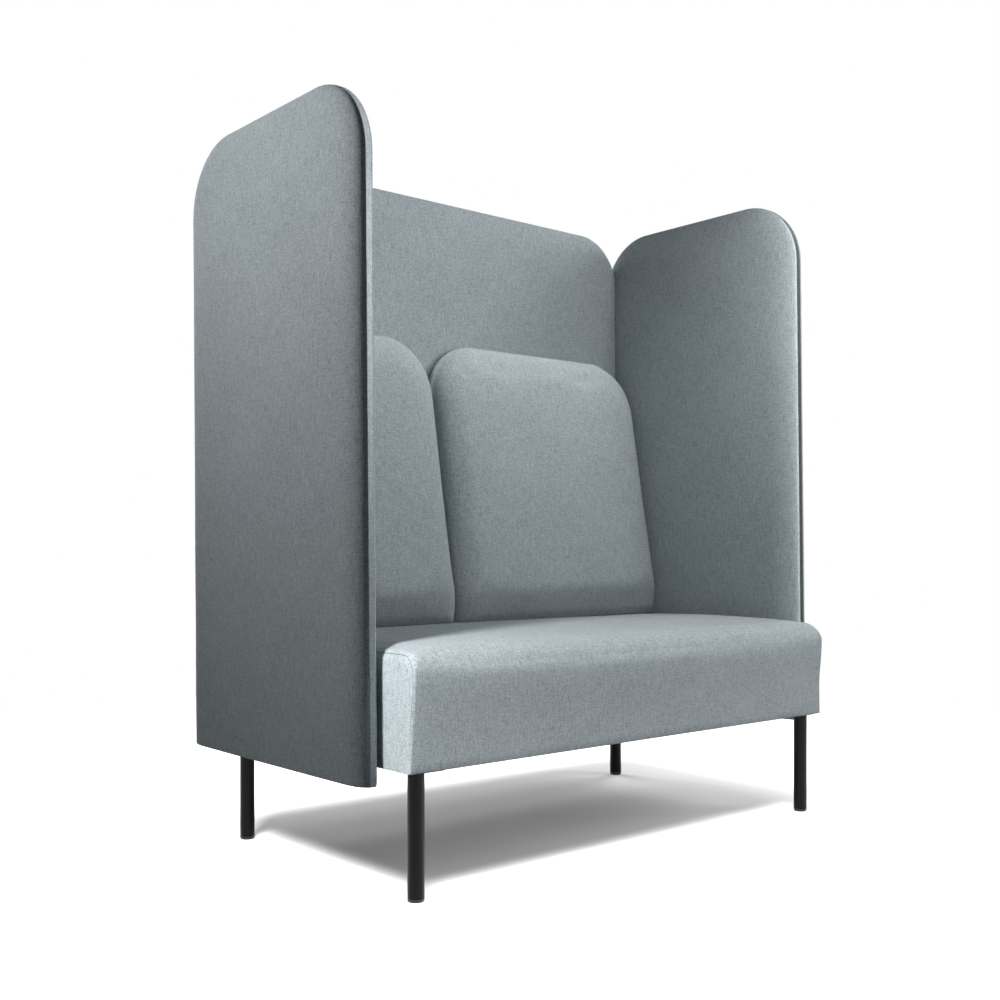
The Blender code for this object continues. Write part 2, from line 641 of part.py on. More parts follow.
def add_legs():
    for end, outward in ENDS:
        for name, sign in SIDES:
            corner = f"{end}_{name}"
            foot = Matrix.Translation((sign * LEG_ACROSS, LEG_ALONG[end], 0.0))
            add_piece(f"leg_{corner}", leg_tube(), "black_steel", foot)
            add_piece(f"glide_{corner}", glide(), "black_plastic", foot)
            plate, holes = leg_plate(sign, end, outward)
            cut(add_piece(f"leg_plate_{corner}", plate, "black_steel"), "holes", holes)


def bolt(length):
    """A socket head bolt: its shank runs from the origin along +Z."""
    shank = BOLT_DIAMETER / 2
    head = BOLT_HEAD_DIAMETER / 2
    socket = BOLT_SOCKET / 2
    profile = [(socket, BOLT_SOCKET_DEPTH - BOLT_HEAD), (socket, -BOLT_HEAD), (head, -BOLT_HEAD),
               (head, 0.0), (shank, 0.0), (shank, length)]
    return turned(profile, SMALL_SIDES)


def spacer(length):
    """A plain tube round a bolt, from the origin along +Z."""
    outer, bore = SPACER_DIAMETER / 2, BOLT_HOLE / 2
    return turned([(outer, 0.0), (outer, length), (bore, length), (bore, 0.0)], SMALL_SIDES, closed=True)


def add_fixings():
    side_head = INNER_HALF - CLEAR
    side_start = FRAME_HALF + CLEAR
    side_bolt_length = SIDE_BOARD_FACE + BOLT_BITE - side_head
    side_spacer_length = SIDE_BOARD_FACE - CLEAR - side_start
    for name, sign in SIDES:
        for end, y in SIDE_BOLT_ALONG.items():
            way = (sign, 0, 0)
            add_piece(f"side_bolt_{name}_{end}", bolt(side_bolt_length), "zinc_steel",
                      facing((sign * side_head, y, BOLT_LEVEL), way))
            add_piece(f"side_spacer_{name}_{end}", spacer(side_spacer_length), "black_plastic",
                      facing((sign * side_start, y, BOLT_LEVEL), way))
    back_head = INNER_REAR - CLEAR
    back_start = FRAME_REAR + CLEAR
    for name, sign in SIDES:
        x = sign * BACK_BOLT_ACROSS
        add_piece(f"back_bolt_{name}", bolt(BACK_BOARD_AT_BOLT + BOLT_BITE - back_head), "zinc_steel",
                  facing((x, back_head, BOLT_LEVEL), (0, 1, 0)))
        add_piece(f"back_spacer_{name}", spacer(BACK_SPACER_END - back_start), "black_plastic",
                  facing((x, back_start, BOLT_LEVEL), (0, 1, 0)))
        for level, z in DOWEL_LEVELS.items():
            ends = [((sign * DOWEL_INNER, lean(BACK_MID, z), z), (sign * DOWEL_OUTER, lean(BACK_MID, z), z))]
            add_piece(f"dowel_{name}_{level}", pins(ends, DOWEL_DIAMETER), "timber")


clear_scene()
sofa = bpy.data.objects.new("sofa", None)
bpy.context.scene.collection.objects.link(sofa)
add_side_panels()
add_back_panel()
add_seat_cushion()
add_seat_frame()
add_straps()
add_dust_cover()
add_back_cushions()
add_legs()
add_fixings()
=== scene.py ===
"""High-back sofa: sewn covers, woven fabric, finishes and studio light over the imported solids."""
import json
from math import copysign, cos, exp, hypot, pi, radians, sin, sqrt

import bmesh
import bpy
import numpy as np
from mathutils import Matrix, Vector, noise


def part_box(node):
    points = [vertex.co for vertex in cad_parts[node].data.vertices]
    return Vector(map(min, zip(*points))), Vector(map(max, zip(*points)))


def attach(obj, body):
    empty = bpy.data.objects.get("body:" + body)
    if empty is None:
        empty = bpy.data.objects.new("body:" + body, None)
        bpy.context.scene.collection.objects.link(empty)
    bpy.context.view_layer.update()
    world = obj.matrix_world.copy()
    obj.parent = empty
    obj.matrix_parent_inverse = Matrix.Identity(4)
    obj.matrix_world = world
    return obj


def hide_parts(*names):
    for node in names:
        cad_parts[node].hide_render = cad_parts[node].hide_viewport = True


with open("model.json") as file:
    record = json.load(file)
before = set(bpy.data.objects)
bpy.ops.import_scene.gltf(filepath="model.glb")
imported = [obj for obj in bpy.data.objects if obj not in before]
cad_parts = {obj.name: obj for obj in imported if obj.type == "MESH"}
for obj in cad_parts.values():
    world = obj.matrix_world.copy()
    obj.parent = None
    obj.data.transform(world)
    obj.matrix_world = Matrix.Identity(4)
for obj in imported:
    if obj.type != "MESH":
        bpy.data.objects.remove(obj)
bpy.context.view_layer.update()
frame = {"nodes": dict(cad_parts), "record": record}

scene = bpy.context.scene
SIDES = (("left", -1), ("right", 1))
ENDS = ("front", "rear")

# Panels: the lean, the outline, the layers and the room that the back panel takes out of the side panels
LEAN = 0.0125
LEAN_LEVEL = 0.8
PANEL_FRONT = -0.2775
PANEL_REAR = 0.3535
SIDE_CORNER = 0.150
BACK_CORNER = 0.130
BACK_WIDTH = 1.2168
BOARD = 0.012
OUTER_PAD = 0.021
INNER_PAD = 0.014
BACK_INNER_PAD = 0.018
GAP = 0.0003
JOINT_GAP = 0.0012
ROOM_BEHIND = 0.07

# Planes of the panels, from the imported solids
SIDE_OUTER_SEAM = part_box("right_panel_outer_pad")[0].x
SIDE_INNER_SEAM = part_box("right_panel_inner_pad")[1].x
SIDE_MID = (SIDE_OUTER_SEAM + SIDE_INNER_SEAM) / 2
PANEL_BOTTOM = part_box("right_panel_outer_pad")[0].z
PANEL_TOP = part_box("right_panel_outer_pad")[1].z
BACK_OUTER_SEAM = PANEL_REAR - OUTER_PAD
BACK_MID = BACK_OUTER_SEAM - GAP - BOARD / 2
BACK_INNER_SEAM = BACK_MID - BOARD / 2 - GAP
SIDE_PLANES = (SIDE_OUTER_SEAM, SIDE_MID, SIDE_INNER_SEAM)
BACK_PLANES = (BACK_OUTER_SEAM, BACK_MID, BACK_INNER_SEAM)

# Panel pads, with profiles as thickness, crown, reach of the rounded edge and its squareness
OUTER_PROFILE = (OUTER_PAD, 0.0015, 0.055, 2.25)
INNER_PROFILE = (INNER_PAD, 0.0006, 0.075, 2.0)
BACK_INNER_PROFILE = (BACK_INNER_PAD, 0.0010, 0.075, 2.0)
PAD_CROWN_REACH = 0.12
FOOT_RISES = (0.0, 0.0008, 0.002, 0.004, 0.008, 0.014)
FOOT_TURN = 0.003
FOOT_ROUND = 0.004
PUCKER_REACH = 0.012
SEAM_INSET = 0.002

# Edge bands
BAND_CROWN = 0.0007
BAND_DEPTH = 0.0025
BAND_STEEPNESS = 3
SEAM_DEPTH = 0.0002

# Seat cover: its outline, its end corners with a seam in each, and where the fill can't move it
SEAT_HALF = 0.5868
SEAT_BOTTOM = 0.2260
SEAT_UNDERSIDE = 0.229
SEAT_FOLD = 0.0030
SEAT_END_FOLD = 0.0065
SEAT_END_HEM = 0.003
SEAT_HEIGHT = 0.4365
SEAT_HEM = -0.3530
SEAT_NOSE = -0.3615
SEAT_WAIST = 0.0020
SEAT_FRONT_CROWN = 0.002
SEAT_NOSE_RADIUS = 0.040
SEAT_CROWN = 0.0030
SEAT_END_ROUND = 0.070
SEAT_END_DROP = 0.003
SEAT_REAR = 0.29125
SEAT_REAR_ROUND = 0.015
SEAT_SKIRT = 0.012
SEAT_CAVITY_TOP = 0.3329
SEAT_END_CORNER = 0.024
SEAT_FRONT_CORNER = 0.009
SEAT_HEM_CORNER = 0.003
SEAT_CORNER_RISE = 0.09
SEAT_CORNER_FADE = 0.06
SEAT_SEAM_ANGLE = 50
SEAM_GROOVE = 0.0026
SEAM_WIDTH = 0.0010
SEAM_LEAST_RADIUS = 0.006
HEM_ROUND = 0.002
HEM_CUT = 0.0006
SEAT_RIPPLE_RISE = 0.02
SEAT_PUCKER_REACH = 0.02
SEAT_HELD_REAR = 0.12
SEAT_HELD_END = 0.002

# Back cushions
CUSHION_SPLIT = -0.068
CUSHION_SPLIT_GAP = 0.002
CUSHION_SIDE = 0.5944
CUSHION_SIDE_SLACK = 0.0004
CUSHION_BOTTOM = 0.4368
CUSHION_TOP = 1.0948
CUSHION_CORNER = 0.130
CUSHION_CORNER_SINK = 0.35
CUSHION_REAR = 0.2923
CUSHION_FOOT_DEPTH = 0.1435
CUSHION_TOP_DEPTH = 0.045
CUSHION_BULGE = 0.5118
CUSHION_TUCK = 0.010
CUSHION_ROUND = 0.045
CUSHION_WALL_ROUND = 0.030
CUSHION_FOOT_ROUND = 0.018
CUSHION_FOOT_RISES = (0.0, 0.0015, 0.004, 0.008, 0.014, 0.022)
CUSHION_CROWN = 0.010
CUSHION_CROWN_REACH = 0.08
CUSHION_DRAW = 0.003
CUSHION_REAR_ROUND = 0.003
CUSHION_LEAST_WALL = 0.006
CUSHION_SIDE_BELT = 0.004
CUSHION_SEAM_FROM_REAR = 0.010
CUSHION_SEAM_DEPTH = 0.0025
CUSHION_SEAM_START = 0.005
CUSHION_SEAM_HALF = 0.0035
CUSHION_SEAM_POWER = 1.5
CUSHION_HELD_SEAM = 0.004
CUSHION_HELD_FOOT = 0.003

# Unevenness of the covers, each as its height, the size of its bumps and a seed
PAD_PUCKER = (0.0006, 0.011, 0.0)
PAD_SWELL = (0.0007, 0.21, 3.0)
BAND_RIPPLE = (0.0003, 0.009, 5.0)
SEAT_RIPPLE = (0.0006, 0.13, 7.0)
SEAT_PUCKER = (0.0004, 0.016, 8.0)
CUSHION_RIPPLES = {"left": ((0.0012, 0.17, 11.0), (0.0004, 0.05, 12.0)),
                   "right": ((0.0012, 0.17, 17.0), (0.0004, 0.05, 18.0))}
CLOTH_RIPPLE = (0.0006, 0.05, 21.0)

# Filling of the loose covers: the simulation, the smoothing after it and the most a point may move
FILL_SETTINGS = {"quality": 6, "mass": 0.4, "tension_stiffness": 20, "compression_stiffness": 20,
                 "shear_stiffness": 10, "bending_stiffness": 2.0, "use_pressure": True,
                 "uniform_pressure_force": 4.0}
FILL_FRAMES = 20
FILL_SMOOTHING = 12
FILL_REACH = 0.005

# Mesh spacing
SPACING = 0.014
FINE_SPACING = SPACING / 2
SEAT_SPACING = 1.3 * SPACING
COARSE_SPACING = 2 * SPACING
CORNER_STEPS = 22
BAND_STEPS = 8
NOSE_STEPS = 9
SEAT_REAR_STEPS = 5
CUSHION_REAR_STEPS = 3
EDGE_INSETS = (0.0, 0.0012, 0.003, 0.0055, 0.009, 0.0135, 0.019, 0.026, 0.035, 0.046, 0.060, 0.076)
SEAT_END_GAPS = (0.006, 0.014, 0.024, 0.036, 0.050)
SEAT_TURNS_BEFORE = (0, 10, 20, 30)
SEAT_SEAM_STEPS = ((-2.5, 0), (-1, 0), (-0.4, 1), (0.4, 1), (1, 0), (2.5, 0))
SEAT_TURNS_AFTER = (72, 81, 90)
SEAT_END_STEPS = ((0.93, 0.0006), (0.80, 0.0012), (0.5, 0.0016))
CUSHION_SEAM_STEPS = (1, 0.6, 0.3, 0.1, -0.1, -0.3, -0.6, -1)
SMOOTH_ANGLE = radians(50)
SAME_POINT = 1e-6

# Screws of the leg plates, with their profile as radius, drop and whether it is six-sided
SCREW_HEAD = 0.0052
SCREW_SHANK = 0.0028
SCREW_SOCKET = 0.0021
SCREW_RISE = 0.0024
SCREW_INSET = 0.012
SCREW_SIDES = 24
SCREW_TURN = (0.9, 1.7)
SCREW_PROFILE = (
    (SCREW_SHANK, -0.004, False), (SCREW_SHANK, 0.0, False), (SCREW_HEAD, 0.0, False),
    (SCREW_HEAD, 0.35 * SCREW_RISE, False), (0.86 * SCREW_HEAD, 0.75 * SCREW_RISE, False),
    (0.58 * SCREW_HEAD, SCREW_RISE, False), (SCREW_SOCKET, SCREW_RISE, True),
    (SCREW_SOCKET, 0.3 * SCREW_RISE, True),
)

# Cloth stapled under the seat
CLOTH_THICKNESS = 0.0006
CLOTH_SAG = 0.0025
CLOTH_SAG_POWER = 0.7
CLOTH_RIPPLE_RISE = 12
STAPLE_WIDTH = 0.011
STAPLE_WIRE = 0.0011
STAPLE_LEG = 0.003
STAPLE_DROP = 0.0014
STAPLE_BEND = (0.0008, 0.0006)
STAPLE_PITCH = 0.055
STAPLE_INSET = 0.007
STAPLE_START = 0.10
STAPLE_SKEW = 0.12

# Shaders: kinds of socket, what each group gives, and shared colours
COLOR, VALUE = "NodeSocketColor", "NodeSocketFloat"
GROUP_OUTPUTS = {"Color": COLOR, "Roughness": VALUE, "Height": VALUE}
DUST_COLOR = (0.30, 0.29, 0.27, 1)
WHITE = (1, 1, 1, 1)

# Camera, fitted to the photo
CAMERA_PLACE = (-1.803, -2.0123, 0.6149)
CAMERA_TURN = -40.465
CAMERA_SENSOR = 36.0
CAMERA_LENS = 43.75
CAMERA_SHIFT = 0.0452

# Studio: fill of the surroundings, floor, and lamps as name, place, target, size, beam angle, power and the
# pieces that each lights, leaves unlit or is shaded by
FILL = 0.04
FILL_COLOR = (0.93, 0.97, 1.0, 1)
FLOOR_RADIUS = 9.0
FLOOR_SIDES = 96
FLOOR_FADE = (1.3, 2.6)
FLOOR_SPECKLE = 220.0
FLOOR_SEEN = ((0.90, 0.90, 0.90, 1), (0.96, 0.96, 0.96, 1))
FLOOR_BOUNCE = ((0.04, 0.04, 0.04, 1), (0.06, 0.06, 0.06, 1))
SEAT = ("seat_cover",)
CUSHIONS = ("back_cushion_cover_left", "back_cushion_cover_right")
LEFT_OUTSIDE = ("left_panel_outer_cover",)
LEFT_BAND = ("left_panel_edge_band_cover",)
RIGHT_BAND = ("right_panel_edge_band_cover",)
RIGHT_INSIDE = ("right_panel_inner_cover",)
SEAT_AND_LEGS = SEAT + tuple(f"leg_{end}_{side}" for end in ENDS for side, _ in SIDES)
FRONT_PLACE = (2.2, -2.2, 1.8)
LOW_FRONT_PLACE = (0.6, -2.6, 1.3)
LAMPS = (
    ("key", (0.45, -1.0, 2.5), (0.0, -0.2, 0.5), (1.0, 0.5), 180, 14.0,
     {"unlit": SEAT + RIGHT_INSIDE + LEFT_OUTSIDE + LEFT_BAND}),
    ("front", FRONT_PLACE, (0.0, 0.0, 0.8), (1.4, 1.4), 180, 52.0,
     {"unlit": SEAT + CUSHIONS + LEFT_OUTSIDE + LEFT_BAND + RIGHT_BAND}),
    ("low_front", LOW_FRONT_PLACE, (0.0, 0.0, 0.8), (1.6, 1.0), 180, 22.0,
     {"unlit": SEAT + CUSHIONS + RIGHT_INSIDE + LEFT_OUTSIDE + LEFT_BAND + RIGHT_BAND}),
    ("seat_end", (-1.75, -0.75, 1.2), (-0.58, -0.33, 0.33), (0.25, 0.25), 180, 49.0, {"lit": SEAT}),
    ("seat_front", FRONT_PLACE, (0.0, 0.0, 0.8), (1.4, 1.4), 180, 22.0, {"lit": SEAT}),
    ("seat_low", (1.4, -1.8, 0.9), (0.2, -0.35, 0.35), (0.5, 0.5), 180, 9.0, {"lit": SEAT}),
    ("seat_nose", (0.6, -1.2, 1.7), (0.4, -0.35, 0.42), (0.8, 0.3), 180, 9.0, {"lit": SEAT}),
    ("cushion", (0.22, -0.28, 1.9), (-0.1, 0.2, 0.9), (0.5, 0.3), 180, 9.0, {"lit": CUSHIONS}),
    ("cushion_front", LOW_FRONT_PLACE, (0.0, 0.0, 0.8), (1.6, 1.0), 180, 12.5, {"lit": CUSHIONS}),
    ("left", (-2.2, 0.9, 2.0), (-0.64, -0.28, 1.35), (0.5, 0.4), 75, 7.5, {"lit": LEFT_OUTSIDE}),
    ("right", (0.27, -0.6, 1.4), (0.6, -0.37, 1.15), (0.2, 0.7), 120, 1.9, {"lit": RIGHT_INSIDE}),
    ("right_edge", (0.5, -1.7, 0.9), (0.6, -0.28, 0.7), (0.3, 0.6), 180, 26.0, {"lit": RIGHT_INSIDE}),
    ("band", (-0.45, -1.4, 1.7), (-0.62, -0.3, 1.05), (0.3, 0.3), 60, 2.9, {"lit": LEFT_BAND}),
    ("rear", (0.5, 3.0, 1.9), (0.0, 0.3, 0.8), (1.8, 1.4), 180, 60.0, {}),
    ("side", (3.0, 0.8, 1.8), (0.6, 0.0, 0.8), (1.4, 1.4), 180, 45.0, {}),
    ("floor", (-5.0, -5.0, 12.0), (0.0, 0.0, 0.0), (4.0, 4.0), 180, 4200.0,
     {"lit": ("floor",), "shades": SEAT_AND_LEGS}),
)


def lean(y, z):
    return y + LEAN * (z - LEAN_LEVEL)


def steps(start, end, spacing):
    """Even places from start to end, about a spacing apart, with both ends."""
    count = max(1, round(abs(end - start) / spacing))
    return [start + (end - start) * k / count for k in range(count + 1)]


def clamped(share):
    return min(1.0, max(0.0, share))


def eased(share):
    """Smooth rise from 0 to 1, level at both ends."""
    share = clamped(share)
    return share ** 2 * (3 - 2 * share)


def rounded(share, squareness=2.0):
    """Rise from 0 to 1 over a rounded edge, as the share of its reach goes from 0 to 1."""
    return (1 - (1 - clamped(share)) ** squareness) ** (1 / squareness)


def ripple(point, unevenness):
    """Rise or fall of an uneven cover at a point, by smooth noise."""
    height, size, seed = unevenness
    return height * noise.noise(Vector(point) / size + Vector((seed, seed * 0.7, seed * 1.3)))


# Covers as meshes
def add_object(name, data):
    thing = bpy.data.objects.new(name, data)
    scene.collection.objects.link(thing)
    return thing


def add_mesh(name, shape):
    """A new object from a bmesh, which is used up."""
    mesh = bpy.data.meshes.new(name)
    shape.to_mesh(mesh)
    shape.free()
    return add_object(name, mesh)


def smooth(mesh):
    mesh.shade_smooth()
    mesh.set_sharp_from_angle(angle=SMOOTH_ANGLE)


def add_piece(name, shape, material, nodes=()):
    """Links a bmesh as a piece of the sofa that stands for CAD nodes."""
    bmesh.ops.recalc_face_normals(shape, faces=shape.faces)
    piece = add_mesh(name, shape)
    smooth(piece.data)
    piece.data.materials.append(material)
    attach(piece, "root")
    if nodes:
        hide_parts(*nodes)
    return piece


def grid(shape, rows):
    """Quads between rows of points, and the rows of vertices."""
    verts = [[shape.verts.new(point) for point in row] for row in rows]
    for near, far in zip(verts, verts[1:]):
        for k in range(len(near) - 1):
            shape.faces.new((near[k], near[k + 1], far[k + 1], far[k]))
    return verts


def bridge(shape, loops):
    """Quads between closed loops of vertices."""
    for near, far in zip(loops, loops[1:]):
        for k in range(len(near)):
            after = (k + 1) % len(near)
            shape.faces.new((near[k], near[after], far[after], far[k]))


def tube(shape, rings):
    """Quads between closed rings of points, capped at both ends."""
    loops = [[shape.verts.new(point) for point in ring] for ring in rings]
    bridge(shape, loops)
    shape.faces.new(loops[0])
    shape.faces.new(loops[-1])


def arch_half(width, top, corner, up):
    """Half the width of an outline with round top corners, at a level."""
    above = up - (top - corner)
    if above <= 0:
        return width / 2
    return width / 2 - corner + sqrt(max(0.0, corner ** 2 - above ** 2))


def past_corner(width, top, corner, across, up):
    """How far out and up a place is from the middle of an outline's nearer top corner."""
    return abs(across) - (width / 2 - corner), up - (top - corner)


def arch_inset(width, top, corner, across, up):
    """Distance in from the sides and the top of an outline with round top corners."""
    past_side, past_top = past_corner(width, top, corner, across, up)
    if past_side > 0 and past_top > 0:
        return corner - hypot(past_side, past_top)
    return min(corner - past_side, corner - past_top)


def arch_levels(bottom, top, corner, foot):
    """Levels of the rows of a cover, closer together at its foot and round its top corners."""
    shoulder = top - corner
    levels = [bottom + rise for rise in foot] + steps(bottom + foot[-1], shoulder, SPACING)[1:]
    turns = [pi / 2 * k / CORNER_STEPS for k in range(1, CORNER_STEPS + 1)]
    return levels + [shoulder + corner * sin(turn) for turn in turns]


def across_places(half, width):
    """Places across a row, closer together near both edges."""
    inner = width / 2 - EDGE_INSETS[-1]
    count = max(2, round(2 * inner / SPACING))
    middle = half - EDGE_INSETS[-1]
    edge = [half - inset for inset in EDGE_INSETS]
    return [-x for x in edge] + [middle * (2 * k / count - 1) for k in range(1, count)] + edge[::-1]


def arch_path(width, bottom, top, corner):
    """Points (across, up) round the sides and the top of an outline, with the direction out of it at each."""
    half, shoulder = width / 2, top - corner
    path = [(-half, up, -1.0, 0.0) for up in steps(bottom, shoulder, FINE_SPACING)]
    for side, start in ((-1, pi), (1, pi / 2)):
        for k in range(1, CORNER_STEPS + 1):
            angle = start - pi / 2 * k / CORNER_STEPS
            out = (cos(angle), sin(angle))
            path.append((side * (half - corner) + corner * out[0], shoulder + corner * out[1], *out))
        if side < 0:
            level = steps(corner - half, half - corner, FINE_SPACING)
            path += [(across, top, 0.0, 1.0) for across in level[1:]]
    return path + [(half, up, 1.0, 0.0) for up in steps(shoulder, bottom, FINE_SPACING)[1:]]


def pad_shape(place, width, corner, profile, behind=0.0):
    """A panel pad's closed shape: rounded in to its seam at the sides and top, turned in at the foot."""
    thickness, crown, reach, squareness = profile
    outline = (width, PANEL_TOP, corner)
    shape = bmesh.new()
    rows = []
    for up in arch_levels(PANEL_BOTTOM, PANEL_TOP, corner, FOOT_RISES):
        row = []
        for across in across_places(arch_half(*outline, up), width):
            inset = max(0.0, arch_inset(*outline, across, up))
            height = thickness * rounded(inset / reach, squareness)
            height += crown * (1 - exp(-inset / PAD_CROWN_REACH))
            height -= min(height, FOOT_TURN) * (1 - rounded((up - PANEL_BOTTOM) / FOOT_ROUND))
            spot = place(across, up, 0.0)
            uneven = exp(-inset / PUCKER_REACH) * ripple(spot, PAD_PUCKER) + ripple(spot, PAD_SWELL)
            row.append(place(across, up, height + clamped(inset / SEAM_INSET) * uneven))
        rows.append(row)
    verts = grid(shape, rows)
    foot = verts[0]
    base_places = across_places(width / 2, width)[1:-1]
    bases = [shape.verts.new(place(across, PANEL_BOTTOM, 0.0)) for across in base_places]
    bases = [foot[0]] + bases + [foot[-1]]
    for k in range(len(foot) - 1):
        corners = [bases[k], bases[k + 1], foot[k + 1], foot[k]]
        shape.faces.new([vert for n, vert in enumerate(corners) if vert not in corners[:n]])
    right_side = [row[-1] for row in verts[1:]]
    left_side = [row[0] for row in verts[1:]]
    rear = shape.faces.new(bases + right_side + verts[-1][-2:0:-1] + left_side[::-1])
    if behind:
        pushed = bmesh.ops.extrude_discrete_faces(shape, faces=[rear])["faces"][0]
        back = place(0, 0, 0) - place(0, 0, behind)
        bmesh.ops.translate(shape, verts=pushed.verts, vec=back)
    return shape


def add_pad_cover(name, shape, material, cutter=None):
    piece = add_piece(name, shape, material, [name.replace("cover", "pad")])
    if cutter is not None:
        cut_away(piece, cutter)


def cut_away(piece, cutter):
    """Cuts a closed shape out of a piece's mesh."""
    bmesh.ops.recalc_face_normals(cutter, faces=cutter.faces)
    tool = add_mesh("cutter", cutter)
    boolean = piece.modifiers.new("room", "BOOLEAN")
    boolean.operation = "DIFFERENCE"
    boolean.solver = "MANIFOLD"
    boolean.object = tool
    bake_modifiers(piece)
    bpy.data.objects.remove(tool)
    smooth(piece.data)


def bake_modifiers(piece):
    """Puts what the modifiers make into the mesh, and takes the modifiers off."""
    graph = bpy.context.evaluated_depsgraph_get()
    mesh = bpy.data.meshes.new_from_object(piece.evaluated_get(graph))
    piece.modifiers.clear()
    piece.data = mesh


def add_edge_band(name, place, width, corner, material):
    """The sewn strip round a panel's edge: a soft strip that sinks to a seam at both its edges."""
    rings = []
    for across, up, out_across, out_up in arch_path(width, PANEL_BOTTOM, PANEL_TOP, corner):
        ring = []
        for k in range(-BAND_STEPS, BAND_STEPS + 1):
            share = k / BAND_STEPS
            aside = share * BOARD / 2
            strip = rounded(BAND_STEEPNESS * (1 - abs(share)))
            rise = BAND_CROWN * strip - SEAM_DEPTH * (1 - strip)
            rise += ripple(place(across, up, aside), BAND_RIPPLE)
            ring.append(place(across + out_across * rise, up + out_up * rise, aside))
        for aside in (BOARD / 2, -BOARD / 2):
            ring.append(place(across - out_across * BAND_DEPTH, up - out_up * BAND_DEPTH, aside))
        rings.append(ring)
    shape = bmesh.new()
    tube(shape, rings)
    add_piece(f"{name}_cover", shape, material, [name])


def back_placed(seam, way):
    return lambda across, up, height: Vector((across, lean(seam + way * height, up), up))


def back_room():
    """The room that the back panel takes out of the side panels' inner covers."""
    profile = (BACK_INNER_PAD + JOINT_GAP, *BACK_INNER_PROFILE[1:])
    return pad_shape(back_placed(BACK_INNER_SEAM, -1), BACK_WIDTH, BACK_CORNER, profile, behind=ROOM_BEHIND)


def add_panel(name, placed, planes, width, corner, inner_profile, fabric, cutter=None):
    """A panel's two covers and its edge band, each on its plane."""
    outer_seam, middle, inner_seam = planes
    outer = pad_shape(placed(outer_seam, 1), width, corner, OUTER_PROFILE)
    inner = pad_shape(placed(inner_seam, -1), width, corner, inner_profile)
    add_pad_cover(f"{name}_outer_cover", outer, fabric)
    add_pad_cover(f"{name}_inner_cover", inner, fabric, cutter)
    add_edge_band(f"{name}_edge_band", placed(middle, 1), width, corner, fabric)


def add_panels(fabric):
    width = PANEL_REAR - PANEL_FRONT
    middle = (PANEL_REAR + PANEL_FRONT) / 2
    for side, sign in SIDES:
        def side_placed(seam, way):
            return lambda across, up, height: Vector(
                (sign * (seam + way * height), lean(middle + across, up), up))

        room = back_room()
        add_panel(f"{side}_panel", side_placed, SIDE_PLANES, width, SIDE_CORNER, INNER_PROFILE, fabric, room)
    add_panel("back_panel", back_placed, BACK_PLANES, BACK_WIDTH, BACK_CORNER, BACK_INNER_PROFILE, fabric)


def seat_outline(x):
    """Outline (y, z) of the seat from the front hem over the top to the rear hem, at a place across it."""
    reach = max(0.0, abs(x) - SEAT_HALF + SEAT_END_ROUND) / SEAT_END_ROUND
    drop = SEAT_END_DROP * (1 - sqrt(max(0.0, 1 - reach ** 2)))
    crown = SEAT_CROWN * (1 - reach ** 2)
    bow = SEAT_FRONT_CROWN * (1 - (x / SEAT_HALF) ** 2)
    nose_level = SEAT_HEIGHT - SEAT_NOSE_RADIUS
    top_front = SEAT_NOSE + SEAT_NOSE_RADIUS - bow
    points = [(SEAT_HEM + HEM_ROUND, SEAT_BOTTOM), (SEAT_HEM + HEM_CUT, SEAT_BOTTOM + HEM_CUT)]
    for level in steps(SEAT_BOTTOM + HEM_ROUND, nose_level, SPACING)[:-1]:
        share = (level - SEAT_BOTTOM) / (nose_level - SEAT_BOTTOM)
        waist = SEAT_WAIST * sin(pi * share) ** 2
        points.append((SEAT_HEM + eased(share) * (SEAT_NOSE - bow - SEAT_HEM) + waist, level))
    for k in range(NOSE_STEPS):
        angle = pi - pi / 2 * k / NOSE_STEPS
        points.append((top_front + SEAT_NOSE_RADIUS * cos(angle),
                       nose_level + SEAT_NOSE_RADIUS * sin(angle)))
    foot = lean(CUSHION_REAR, CUSHION_BULGE) - CUSHION_FOOT_DEPTH - CUSHION_CROWN
    for y in steps(top_front, SEAT_REAR - SEAT_REAR_ROUND, SEAT_SPACING):
        share = min(1.0, (y - top_front) / (foot - top_front))
        points.append((y, SEAT_HEIGHT + crown * sin(pi * share) ** 2))
    for k in range(1, SEAT_REAR_STEPS + 1):
        angle = pi / 2 - pi / 2 * k / SEAT_REAR_STEPS
        points.append((SEAT_REAR - SEAT_REAR_ROUND * (1 - cos(angle)),
                       SEAT_HEIGHT - SEAT_REAR_ROUND * (1 - sin(angle))))
    rear_levels = steps(SEAT_HEIGHT - SEAT_REAR_ROUND, SEAT_UNDERSIDE, COARSE_SPACING)
    points += [(SEAT_REAR, level) for level in rear_levels[1:]]
    thickness = SEAT_HEIGHT - SEAT_BOTTOM
    return [(y, z - drop * ((z - SEAT_BOTTOM) / thickness) ** 2) for y, z in points]


def drawn_in(outline, depths):
    """An open outline moved in by a depth at each point, square to itself, and kept above the seat's foot."""
    moved = []
    for k, ((y, z), depth) in enumerate(zip(outline, depths)):
        before = outline[max(0, k - 1)]
        after = outline[min(len(outline) - 1, k + 1)]
        run, rise = after[0] - before[0], after[1] - before[1]
        length = hypot(run, rise)
        moved.append((y + depth * rise / length, max(SEAT_BOTTOM, z - depth * run / length)))
    return moved


def seat_corner(y, z):
    """Radius of the seat's end corners: tight at the hem and behind, firm in front, soft over the top."""
    over = eased((z - SEAT_HEIGHT + SEAT_NOSE_RADIUS) / SEAT_NOSE_RADIUS)
    full = SEAT_FRONT_CORNER + (SEAT_END_CORNER - SEAT_FRONT_CORNER) * over
    ahead = clamped((SEAT_REAR - y) / SEAT_CORNER_FADE)
    return SEAT_HEM_CORNER + (full - SEAT_HEM_CORNER) * eased((z - SEAT_BOTTOM) / SEAT_CORNER_RISE) * ahead


